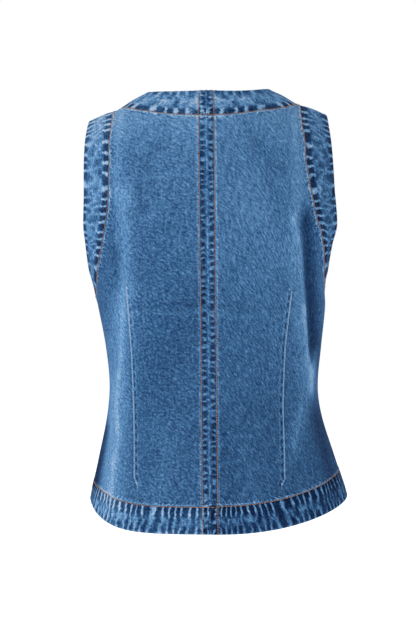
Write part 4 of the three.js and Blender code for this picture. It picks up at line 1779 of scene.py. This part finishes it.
@dataclass(frozen=True)
class DenimFinish:
    """Washed blue denim, worn pale on its crests, with painted shading and a paler, greyer inside.

    Cells holds the Length, Core, Edge and Spread of each band's wear.
    """

    name: str
    level: float = 0.46
    roughness: float = 0.94
    sheen: float = 0.03
    cells: dict[str, tuple[float, float, float, float]] = field(
        default_factory=lambda: {
            "neck": (42.0, 0.16, 0.6, 9.0),
            "arm": (24.0, 0.12, 1.0, 8.5),
            "hem": (42.0, 0.3, 0.7, 15.0),
        }
    )

    def build(self, groups: dict[str, bpy.types.NodeTree]) -> bpy.types.Material:
        """The material.

        The place on the colour scale is the level plus the tones of weave, bands, seam and
        the piece's own tone of wear with painted light and shade. The inside mixes towards a
        pale grey blue.

        Args:
            groups: The shared effects by name.

        Returns:
            The finished material.
        """
        material, g, shader = new_material(self.name)
        cloth = g.add("ShaderNodeUVMap", uv_map="Cloth").outputs[0]
        weave = g.add("ShaderNodeGroup", node_tree=groups["weave"])
        g.put(weave, {"Cloth": cloth})
        tone, relief = weave.outputs["Tone"], g.times(weave.outputs["Height"], 0.22)
        # The vertex tone holds real wear and painted light and shade: lit folds paler, troughs darker.
        level = g.math("ADD", g.math("ADD", tone, self.level), g.value("wear_and_shading"))
        calm = g.value("calm")
        for line in LINES:
            own = self.cells.get(line)
            effect = g.add("ShaderNodeGroup", node_tree=groups["band" if own else line])
            g.put(effect, {"Place": g.value(f"{line}_edge", "Vector"), "Cloth": cloth})
            if own:
                g.put(effect, {"Share": calm, **dict(zip(("Length", "Core", "Edge", "Spread"), own))})
            level = g.math("ADD", level, effect.outputs["Tone"])
            relief = g.math("ADD", relief, effect.outputs["Height"])
        reverse = g.ramp(g.tint(0.5, (tone, 1.4)), REVERSE_SCALE)
        inside = g.rise(g.value("inner"), 0.3, 0.7)
        values = {
            "Normal": g.bump(relief, 0.55, 0.0004),
            "Base Color": g.blend(inside, g.ramp(level, DENIM_SCALE), reverse),
            "Roughness": g.math("MULTIPLY_ADD", tone, -0.2, self.roughness, clamp=True),
            "Sheen Weight": self.sheen,
            "Sheen Roughness": 0.5,
            "Sheen Tint": linear(120, 160, 205),
            "Specular IOR Level": 0.04,
        }
        g.put(shader, values)
        return material


@dataclass(frozen=True)
class ThreadFinish:
    """Spun sewing thread: a colour with twisted plies, with a painted highlight on each ply."""

    name: str
    dark: tuple[float, float, float]
    light: tuple[float, float, float]

    def build(self) -> bpy.types.Material:
        """The material, which reads places on the object for its small variation.

        Returns:
            The finished material.
        """
        material, g, shader = new_material(self.name)
        where = g.add("ShaderNodeTexCoord").outputs["Object"]
        ply = g.noise(where, 2200.0, 1.0)
        soil = g.noise(where, 45.0)
        # Painted highlight: lighter where the ply noise that raises the bump is high; soil varies at
        # random.
        share = g.math("MULTIPLY_ADD", ply, 0.3, g.tint(0.5, (soil, 0.3)), clamp=True)
        colour = g.blend(share, linear(*self.dark), linear(*self.light))
        g.put(shader, {"Base Color": colour, "Roughness": g.tint(0.7, (ply, 0.1))})
        g.put(shader, {"Sheen Weight": 0.04, "Normal": g.bump(ply, 0.4, 0.0002)})
        return material


@dataclass(frozen=True)
class MetalFinish:
    """Satin brass, darker in its hollows and rubbed bright on its rim."""

    name: str = "button_metal_finish"

    def build(self) -> bpy.types.Material:
        """The material: tarnish as noise, and the wear that the mesh holds.

        Returns:
            The finished material.
        """
        material, g, shader = new_material(self.name)
        where = g.add("ShaderNodeTexCoord").outputs["Object"]
        tarnish = g.noise(where, 260.0, 3.0)
        share = g.math("ADD", g.tint(0.35, (tarnish, 0.25)), g.value("wear_and_shading"), clamp=True)
        colour = g.blend(share, linear(104, 82, 56), linear(205, 178, 132))
        fine = g.bump(g.noise(where, 1600.0), 0.15, 0.0002)
        g.put(shader, {"Base Color": colour, "Metallic": 1.0, "Normal": fine})
        g.put(shader, {"Roughness": g.tint(0.38, (tarnish, 0.1))})
        return material


@dataclass(frozen=True)
class FlatPiece:
    """A piece of cloth before sewing: width and length in metres, and area in square metres."""

    width: float
    length: float
    area: float


@dataclass(frozen=True)
class ClothPiece:
    """A thin closed shell of cloth made from welded blocks of one or more panels."""

    node: str
    slot: str
    outer_depth: float
    inner_depth: float

    @property
    def name(self) -> str:
        """Name of the new piece, after the solid that it stands for."""
        return f"{self.node}_cloth"

    def values(self, tailoring: Tailoring, panel: Panel, weld: Weld) -> dict[str, Array]:
        """What each point of a welded surface carries.

        Outer and inner are the smooth surface's points moved along their normals by the
        relief, less the depth. The rest is what the material reads.

        Args:
            tailoring: The sewn lines and their relief.
            panel: The panel.
            weld: The surface.

        Returns:
            Rows of values by name.
        """
        points, places = weld.points, weld.places
        known = tailoring.measure(panel, points)
        normal = tailoring.cut.form.frame(panel, places[:, 0], places[:, 1])[2]
        lift = tailoring.relief(panel, points, known)
        calm = tailoring.calm(points, tailoring.band_calm)
        across, along = tailoring.dart_side(panel, points, known["dart"]), known["dart"][1]
        values = {
            "outer": points + normal * (lift - self.outer_depth)[:, None],
            "inner": points + normal * (lift - self.inner_depth)[:, None],
            "wear_and_shading": tailoring.wear_and_shading(panel, points, known),
            "flat": self.flat_places(tailoring.cut.form, panel, places, points),
            "calm": calm * (1 - LEAST_CALM) + LEAST_CALM,
            "seam_edge": self.seam_values(tailoring, panel, known, len(points)),
            "dart_edge": np.stack((tailoring.dart_turns(along), across, np.ones(len(points))), axis=-1),
        }
        for edge, band in tailoring.bands(panel).items():
            inside, along = known[edge]
            past = inside - tailoring.width(panel, edge, along)
            values[f"{edge}_edge"] = np.stack((band.phase(along, inside), past, inside), axis=-1)
        return values

    def build(self, tailoring: Tailoring, parts: Parts, inside_out: bool) -> bpy.types.Object:
        """Builds the shell and writes the values that its material reads.

        Args:
            tailoring: The sewn lines and their relief.
            parts: Panels with their grids of places, which meet on their seams.
            inside_out: True for a facing, whose good side looks inwards.

        Returns:
            The new object.
        """
        rows, triangles, offset = [], [], 0
        for panel, blocks in parts:
            weld = weld_blocks(tailoring.cut, panel, blocks)
            rows.append(self.values(tailoring, panel, weld))
            triangles.append(weld.triangles + offset)
            offset += len(weld.points)
        joined = {key: np.concatenate([row[key] for row in rows]) for key in rows[0]}
        faces = np.concatenate(triangles)
        chosen, faces = merge_near(joined["outer"], faces, SEAM_FINENESS)
        joined, faces = {key: value[chosen] for key, value in joined.items()}, sound(faces)
        obj = make_object(self.name, *close_shell(joined["outer"], joined["inner"], faces))
        self.write_values(obj, joined, faces, inside_out)
        return obj

    def seam_values(self, tailoring: Tailoring, panel: Panel, known: Known, count: int) -> Array:
        """Ripple count, signed distance from the centre seam and share, for each point.

        The distance is negative on the right panel, and the count is shifted there, so that
        the two columns of patches differ.

        Args:
            tailoring: The sewn lines.
            panel: The panel.
            known: What measure found.
            count: Number of points.

        Returns:
            Three values for each point.
        """
        if "seam" not in known:
            return np.tile((0.0, FAR_FROM_SEAM, 0.0), (count, 1))
        across, along = known["seam"]
        turns = tailoring.seam_turns(along) + (COLUMN_SHIFT if panel.side is Side.RIGHT else 0.0)
        return np.stack((turns, across * panel.side.value, np.ones(count)), axis=-1)

    def flat_places(self, form: BodyForm, panel: Panel, places: Places, points: Points) -> Array:
        """Flat coordinates: the way round at a height, and the way down.

        Args:
            form: The smooth surface.
            panel: The panel; fronts and backs lie apart.
            places: Places on it.
            points: Their points.

        Returns:
            Two metres for each place.
        """
        half = form.section(2, points[:, 2])
        depth = form.section(form.depth_column(panel), points[:, 2])
        sense = -panel.face.value * panel.side.value
        u = sense * places[:, 0] * (half + depth) / 2 + FRONT_TO_BACK * panel.face.value
        return np.stack((u, -places[:, 1]), axis=-1) * MILLIMETRE

    def write_values(
        self, obj: bpy.types.Object, values: dict[str, Array], faces: Array, flip: bool
    ) -> None:
        """Writes all vertex values: outer points, then inner ones, then the rim's middle.

        Args:
            obj: The shell.
            values: Values of the outer points by name.
            faces: Triangles of the outer face.
            flip: True where the outer face is the cloth's reverse.
        """
        count, total = len(values["outer"]), len(obj.data.vertices)
        ends = np.unique(open_rim(faces, count))
        source = np.concatenate((np.arange(count), np.arange(count), ends))[:total]
        inner = np.zeros(total)
        inner[slice(0, count) if flip else slice(count, 2 * count)] = 1.0
        add_values(obj, "inner", inner)
        for name in ("wear_and_shading", "calm", *(f"{line}_edge" for line in LINES)):
            add_values(obj, name, values[name][source])
        add_cloth_map(obj, values["flat"][source])

    def dress(self, obj: bpy.types.Object, material: bpy.types.Material) -> None:
        """Gives the piece its material, attaches it to the root and hides the solid it stands for.

        Args:
            obj: The shell.
            material: Its finish.
        """
        obj.data.materials.append(material)
        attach(obj, "root")
        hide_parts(self.node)


@dataclass
class Stitching:
    """Rows of topstitching that lie on the cloth, in millimetres."""

    tailoring: Tailoring
    pitch: float = 3.4
    length: float = 2.9
    radius: float = 0.46
    sides: int = 6
    thread_inside: float = 0.2
    corner_slack: float = 1.0
    hole_middle: float = -8.0
    hole_length: float = 21.0
    hole_width: float = 3.4

    def row_points(self, panel: Panel, places: Places) -> tuple[Points, Points]:
        """Evenly spaced points of a row on the relief of the cloth.

        Args:
            panel: The panel.
            places: Places along the row.

        Returns:
            The points, two for each stitch, and their normals.
        """
        cut = self.tailoring.cut
        count = max(int(way_along(cut.points(panel, places))[-1] / (self.pitch / 2)), 4)
        even = cut.respace(panel, places, cut.even(count))
        base = cut.points(panel, even)
        normal = cut.form.frame(panel, even[:, 0], even[:, 1])[2]
        known = self.tailoring.measure(panel, base)
        lift = self.tailoring.relief(panel, base, known)
        return base + normal * lift[:, None], normal

    def capsules(self, points: Points, normals: Points) -> tuple[Points, Array]:
        """Low capsules along a row, one for every second step.

        Each has four rings whose radius is a half sine along it, and sinks at both ends.

        Args:
            points: Points of the row.
            normals: Outward normals there.

        Returns:
            Points and triangles of all the stitches.
        """
        middle = np.arange(1, len(points) - 1, 2)
        along = unit(points[middle + 1] - points[middle - 1])
        up = normals[middle]
        beside = np.cross(along, up)
        ring_at = np.array((-0.5, -0.3, 0.3, 0.5)) * self.length
        ring_radius = np.array((0.35, 1.0, 1.0, 0.35)) * self.radius
        ring_lift = np.array((-0.1, 0.42, 0.42, -0.1))
        turn = np.linspace(0, 2 * np.pi, self.sides, endpoint=False)[None, None, :, None]
        circle = beside[:, None, None] * np.cos(turn) + up[:, None, None] * np.sin(turn) * 0.8
        centre = points[middle][:, None] + along[:, None] * ring_at[None, :, None]
        centre = centre + up[:, None] * ring_lift[None, :, None]
        body = centre[:, :, None] + circle * ring_radius[None, :, None, None]
        ends = centre[:, [0, -1]] + along[:, None] * np.array((-0.12, 0.12))[None, :, None]
        vertices = np.concatenate((body.reshape(len(middle), -1, 3), ends), axis=1)
        starts = np.arange(len(middle)) * vertices.shape[1]
        faces = tube_faces(len(ring_at), self.sides)[None] + starts[:, None, None]
        return vertices.reshape(-1, 3), faces.reshape(-1, 3)

    def build(self, name: str, rows: list[tuple[Panel, Places]], material: bpy.types.Material) -> None:
        """Joins the stitches of some rows into one piece that rides on the vest.

        Args:
            name: Name of the piece.
            rows: Panels with the places of a row on each.
            material: Finish of the thread.
        """
        points, faces, offset = [], [], 0
        for panel, places in rows:
            vertices, triangles = self.capsules(*self.row_points(panel, places))
            points.append(vertices)
            faces.append(triangles + offset)
            offset += len(vertices)
        obj = make_object(name, np.concatenate(points), np.concatenate(faces))
        obj.data.materials.append(material)
        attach(obj, "root")
        log.info("%s: %d triangles", name, len(obj.data.polygons))

    def edge_row(self, panel: Panel, edge: str) -> Places:
        """A row that follows an edge at the width of its band.

        Where the front's edge turns into the neck the moved curve would cross itself, so
        places that come nearer to the edge than the width are left out.

        Args:
            panel: The panel.
            edge: Name of the edge.

        Returns:
            Places along the row.
        """
        cut, form = self.tailoring.cut, self.tailoring.cut.form
        end = None
        if edge == "arm":
            curve, sense = cut.arm_edge(panel), -1
        elif edge == "hem":
            start = cut.hem_start if panel.face is Face.FRONT else 0.0
            curve, sense = cut.hem_place(panel.side, np.linspace(start, QUARTER, 260)), -1
        elif panel.face is Face.BACK:
            curve, sense = cut.back_neck(panel), 1
        else:
            straight = cut.front_edge(panel, cut.hem_height + 1, cut.v_height)
            curve, sense = np.concatenate((straight, cut.front_neck(panel)[1:])), 1
        curve = cut.respace(panel, curve, cut.even(300))
        line = self.tailoring.edges(panel)[edge]
        along = nearest_on_line(cut.points(panel, curve), line)[1]
        inside = self.tailoring.width(panel, edge, along) - self.thread_inside
        if edge == "hem":
            height = form.height_at(panel.side, curve[-1, 0], curve[-1, 1]) + inside[-1]
            end = np.array([QUARTER, float(form.run_at(panel.side, curve[-1, 0], height))])
        row = cut.inset(panel, curve, inside, sense, None, end)
        if panel.face is Face.FRONT and edge == "neck":
            away = nearest_on_line(cut.points(panel, row), line)[0]
            row = row[away > inside - self.corner_slack]
        return row

    def seam_row(self, panel: Panel) -> Places:
        """A row beside the centre-back seam, from hem to neck.

        Args:
            panel: The panel.

        Returns:
            Places along the row.
        """
        cut = self.tailoring.cut
        height = np.linspace(cut.hem_height + 1, cut.back_neck_height - 1, 300)
        return cut.beside_seam(panel, height, self.tailoring.seam_half)

    def buttonhole(self, height: float) -> Places:
        """A long narrow oval on the upper front, from a button's middle towards the side.

        The sideways place is the middle plus half the length times the cosine of the turn;
        the height is the button's plus half the width times its sine.

        Args:
            height: Height of the button in millimetres.

        Returns:
            Places round the oval.
        """
        form, side = self.tailoring.cut.form, Side.RIGHT
        turn = np.linspace(0.0, 2 * np.pi, 120)
        x = self.hole_middle + self.hole_length / 2 * np.cos(turn)
        level = height + self.hole_width / 2 * np.sin(turn)
        angle = form.angle_at(side, x + form.section(1, level), level)
        return form.at_height(side, angle, level)

    def build_all(
        self, buttons: "Buttons", orange: bpy.types.Material, tonal: bpy.types.Material
    ) -> None:
        """Makes every row of the vest.

        Args:
            buttons: Gives the heights of the buttonholes.
            orange: Finish of the topstitching.
            tonal: Finish of the darts' thread.
        """
        for edge in ("neck", "arm", "hem"):
            rows = [(panel, self.edge_row(panel, edge)) for panel in PANELS]
            self.build(f"{edge}_topstitching", rows, orange)
        seams = [(panel, self.seam_row(panel)) for panel in (BACK_LEFT, BACK_RIGHT)]
        self.build("centre_topstitching", seams, orange)
        darts = [(panel, self.tailoring.dart_places(panel)) for panel in PANELS]
        self.build("dart_stitching", darts, tonal)
        close = replace(self, pitch=1.5, length=1.3, radius=0.6)
        heights = [buttons.top - index * buttons.pitch for index in range(buttons.count)]
        holes = [(FRONT_RIGHT, self.buttonhole(height)) for height in heights]
        close.build("buttonhole_stitching", holes, orange)


@dataclass(frozen=True)
class Buttons:
    """Five domed metal buttons in a row down the front, in millimetres."""

    count: int = 5
    top: float = -214.0
    pitch: float = 80.0
    gap: float = 0.3
    segments: int = 40
    profile: tuple[tuple[float, float, float], ...] = (
        (0.0, 0.0, 0.0), (3.2, 0.0, 0.0), (3.2, 1.6, -0.2), (7.7, 1.6, 0.0), (8.3, 1.9, 0.2),
        (8.5, 2.9, 0.35), (8.0, 3.7, 0.45), (7.3, 4.1, 0.4), (6.6, 3.75, -0.2),
        (6.2, 3.6, -0.35), (5.6, 3.8, -0.1), (4.0, 4.05, 0.1), (2.0, 4.18, 0.15),
        (0.0, 4.2, 0.15),
    )

    def seat(self, form: BodyForm, height: float) -> tuple[Array, Array]:
        """Where a button stands on the upper front.

        Args:
            form: The smooth surface.
            height: Height of the button.

        Returns:
            The foot of its axis, over the creases by the gap, and the outward normal.
        """
        angle, level = np.zeros(1), np.array([height])
        run = form.run_at(Side.RIGHT, angle, level)
        base = form.point(FRONT_RIGHT, angle, run)
        normal = form.frame(FRONT_RIGHT, angle, run)[2][0]
        creases = sum(c.lift * c.strength(FRONT_RIGHT, base) for c in CREASES)
        return base[0] + normal * (float(creases[0]) + self.gap), normal

    def turned(self, centre: Array, normal: Array) -> tuple[Points, Array]:
        """The profile turned about an axis.

        A point is the foot of the axis plus the radius times the circle, plus the height
        along the axis.

        Args:
            centre: Foot of the axis.
            normal: Direction of the axis.

        Returns:
            Points and triangles, which face outwards.
        """
        beside = unit(np.cross(normal, (0.0, 0.0, 1.0)))
        above = np.cross(beside, normal)
        rows = np.array(self.profile)
        turn = np.linspace(0, 2 * np.pi, self.segments, endpoint=False)[:, None]
        circle = beside * np.cos(turn) + above * np.sin(turn)
        ring = centre + circle[None] * rows[1:-1, 0][:, None, None]
        ring = ring + normal * rows[1:-1, 1][:, None, None]
        poles = [centre, centre + normal * rows[-1, 1]]
        points = np.concatenate((ring.reshape(-1, 3), poles))
        faces = tube_faces(len(rows) - 2, self.segments)
        return points, self.outward(points, faces, centre + normal * 2.0)

    def build(self, form: BodyForm, material: bpy.types.Material) -> None:
        """Builds every button, with its wear, and sets it on the cloth.

        Args:
            form: The smooth surface that the buttons stand on.
            material: Finish of the metal.
        """
        wear_and_shading = np.array(self.profile)[:, 2]
        wear_and_shading = np.concatenate((np.repeat(wear_and_shading[1:-1], self.segments), wear_and_shading[[0, -1]]))
        for index in range(self.count):
            height = self.top - index * self.pitch
            points, faces = self.turned(*self.seat(form, height))
            obj = make_object(f"button_{index + 1}_head", points, faces)
            add_values(obj, "wear_and_shading", wear_and_shading)
            obj.data.materials.append(material)
            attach(obj, "root")
            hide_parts(f"button_{index + 1}")
            log.info("%s: %d triangles, at height %.1f mm", obj.name, len(faces), height)

    def outward(self, points: Points, faces: Array, middle: Array) -> Array:
        """Turns all faces round if their signed volume about the middle is negative.

        Args:
            points: Points of a closed mesh.
            faces: Its triangles.
            middle: A point inside it.

        Returns:
            The triangles.
        """
        a, b, c = (points[faces[:, k]] - middle for k in range(3))
        volume = float((np.cross(a, b) * c).sum())
        return faces if volume > 0 else faces[:, ::-1]


@dataclass(frozen=True)
class Studio:
    """Camera at the photograph's place, a plain pale floor and soft white light."""

    distance: float = 2.112
    height: float = -0.2894
    lens: float = 88.08
    floor: float = -0.78
    floor_half: float = 6.0
    white: tuple[float, float, float, float] = (1.0, 1.0, 1.0, 1.0)
    ambient: float = 0.62
    aim: float = -0.29

    def build(self) -> None:
        """Makes camera, floor, backdrop and lights."""
        scene = bpy.context.scene
        data = bpy.data.cameras.new("camera")
        data.lens = self.lens
        data.sensor_width = 36.0
        camera = bpy.data.objects.new("camera", data)
        camera.location = (0.0, self.distance, self.height)
        camera.rotation_euler = (QUARTER, 0.0, math.pi)
        scene.collection.objects.link(camera)
        scene.camera = camera
        scene.view_settings.view_transform = "Standard"
        scene.view_settings.look = "None"
        world = bpy.data.worlds.new("studio")
        world.use_nodes = True
        g = Graph(world.node_tree)
        seen = g.add("ShaderNodeLightPath").outputs["Is Camera Ray"]
        strength = g.tint(self.ambient, (seen, 1.0 - self.ambient))
        g.put(world.node_tree.nodes["Background"], {"Color": self.white, "Strength": strength})
        scene.world = world
        self.add_floor()
        self.add_light("key_light", (2.3, 1.6, 1.9), 1.5, 40.0)
        self.add_light("fill_light", (-1.8, -2.0, 1.4), 2.0, 24.0)

    def add_floor(self) -> None:
        """A wide pale floor that the background's white runs into."""
        size = self.floor_half
        corners = [(-size, -size), (size, -size), (size, size), (-size, size)]
        mesh = bpy.data.meshes.new("floor")
        mesh.from_pydata([(x, y, self.floor) for x, y in corners], [], [(0, 1, 2, 3)])
        floor = bpy.data.objects.new("floor", mesh)
        bpy.context.scene.collection.objects.link(floor)
        material, g, shader = new_material("floor_white")
        g.put(shader, {"Base Color": (0.9, 0.9, 0.9, 1.0), "Roughness": 1.0})
        g.put(shader, {"Emission Color": self.white, "Emission Strength": 0.5})
        mesh.materials.append(material)

    def add_light(self, name: str, place: tuple[float, float, float], size: float, power: float) -> None:
        """A square soft light that looks at the middle of the vest.

        Args:
            name: Name of the light.
            place: Where it hangs, in metres.
            size: Its width in metres.
            power: Its power in watts.
        """
        data = bpy.data.lights.new(name, "AREA")
        data.size = size
        data.energy = power
        light = bpy.data.objects.new(name, data)
        light.location = place
        middle = np.array((0.0, 0.0, self.aim)) - np.array(place)
        flat = math.hypot(middle[0], middle[1])
        tilt = math.atan2(flat, -middle[2])
        light.rotation_euler = (tilt, 0.0, math.atan2(middle[1], middle[0]) - QUARTER)
        bpy.context.scene.collection.objects.link(light)


@dataclass
class Vest:
    """The whole vest: panels, facings, stitching and buttons."""

    cut: Cut = field(default_factory=Cut)
    cloth: float = 1.2
    facing: float = 1.0
    gap: float = 0.3
    margin: float = 0.8

    def build(self) -> None:
        """Builds every piece in order and reports it."""
        groups = {
            "weave": WeaveEffect().build(),
            "band": BandEffect().build(),
            "seam": SeamEffect().build(),
            "dart": DartEffect().build(),
        }
        denim = DenimFinish("denim_finish").build(groups)
        facing = DenimFinish("facing_finish", level=0.48).build(groups)
        tailoring = Tailoring(self.cut)
        grids = {panel: self.cut.grids(panel) for panel in PANELS}
        depth = self.cloth + self.gap
        pieces = []
        for panel in PANELS:
            piece = ClothPiece(panel.name, "denim", 0.0, self.cloth)
            pieces.append((piece, [(panel, list(grids[panel].values()))], denim))
        for name, parts in self.facings(tailoring, grids).items():
            piece = ClothPiece(name, "band_denim", depth, depth + self.facing)
            pieces.append((piece, parts, facing))
        for piece, parts, material in pieces:
            obj = piece.build(tailoring, parts, material is facing)
            piece.dress(obj, material)
            self.report(obj)
        orange = ThreadFinish("orange_thread", (150, 96, 30), (206, 146, 62)).build()
        tonal = ThreadFinish("blue_thread", (70, 104, 146), (150, 180, 210)).build()
        buttons = Buttons()
        Stitching(tailoring).build_all(buttons, orange, tonal)
        buttons.build(self.cut.form, MetalFinish().build())

    def facing_strip(self, tailoring: Tailoring, panel: Panel, part: str, grid: Places) -> Places:
        """The strip behind a band, at half its fineness, as wide as the stitching needs.

        Each rung runs on in its own direction to just past the stitching.

        Args:
            tailoring: Gives the width of the band.
            panel: The panel.
            part: Name of the strip and of its edge.
            grid: The panel's own strip.

        Returns:
            The facing's grid of places.
        """
        edge, band = grid[::2, :1], grid[::2, -1:]
        points = self.cut.points(panel, edge[:, 0])
        along = nearest_on_line(points, tailoring.edges(panel)[part])[1]
        own = self.cut.arm_band if part == "arm" else self.cut.neck_band
        if panel.face is Face.FRONT and part == "neck":
            own = self.cut.front_band
        scale = np.maximum((tailoring.width(panel, part, along) + self.margin) / own, 1.0)
        share = np.linspace(0.0, 1.0, self.cut.band_columns // 2 + 1)[None, :, None]
        return edge + (band - edge) * share * scale[:, None, None]

    def facings(self, tailoring: Tailoring, grids: dict[Panel, Grids]) -> dict[str, Parts]:
        """The strips of the panels that each facing lies behind.

        Args:
            tailoring: Gives the widths of the bands.
            grids: The panels' grids.

        Returns:
            Panels with their grids, by the facing's name.
        """

        def strip(part: str, *panels: Panel) -> Parts:
            """The strips of some panels along an edge."""
            return [(p, [self.facing_strip(tailoring, p, part, grids[p][part])]) for p in panels]

        rows = 2 * self.cut.fineness + 1
        return {
            "neck_facing": strip("neck", BACK_LEFT, BACK_RIGHT),
            "front_facing_left": strip("neck", FRONT_LEFT),
            "front_facing_right": strip("neck", FRONT_RIGHT),
            "armhole_facing_left": strip("arm", BACK_LEFT, FRONT_LEFT),
            "armhole_facing_right": strip("arm", BACK_RIGHT, FRONT_RIGHT),
            "hem_facing": [(panel, [grids[panel]["main"][:rows:2, ::2]]) for panel in PANELS],
        }

    def half_area(self, obj: bpy.types.Object) -> float:
        """Half of a shell's surface, in square metres."""
        return sum(face.area for face in obj.data.polygons) / 2

    def report(self, obj: bpy.types.Object) -> None:
        """Logs a piece's triangles, its area of cloth and the extent of its flat map.

        Args:
            obj: The piece.
        """
        mesh = obj.data
        flat = np.empty(len(mesh.loops) * 2, dtype=np.float32)
        mesh.uv_layers["Cloth"].data.foreach_get("uv", flat)
        width, length = np.ptp(flat.reshape(-1, 2), axis=0)
        size = (obj.name, len(mesh.polygons), self.half_area(obj), width, length)
        log.info("%s: %d triangles, %.4f square metres, map %.3f by %.3f m", *size)


def write_sizes() -> None:
    """Brings the scene's matrices up to date."""
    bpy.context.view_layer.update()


def main() -> None:
    """Builds the studio and the vest."""
    logging.basicConfig(level=logging.INFO, format="%(message)s")
    Studio().build()
    Vest().build()
    write_sizes()


if __name__ == "__main__":
    main()
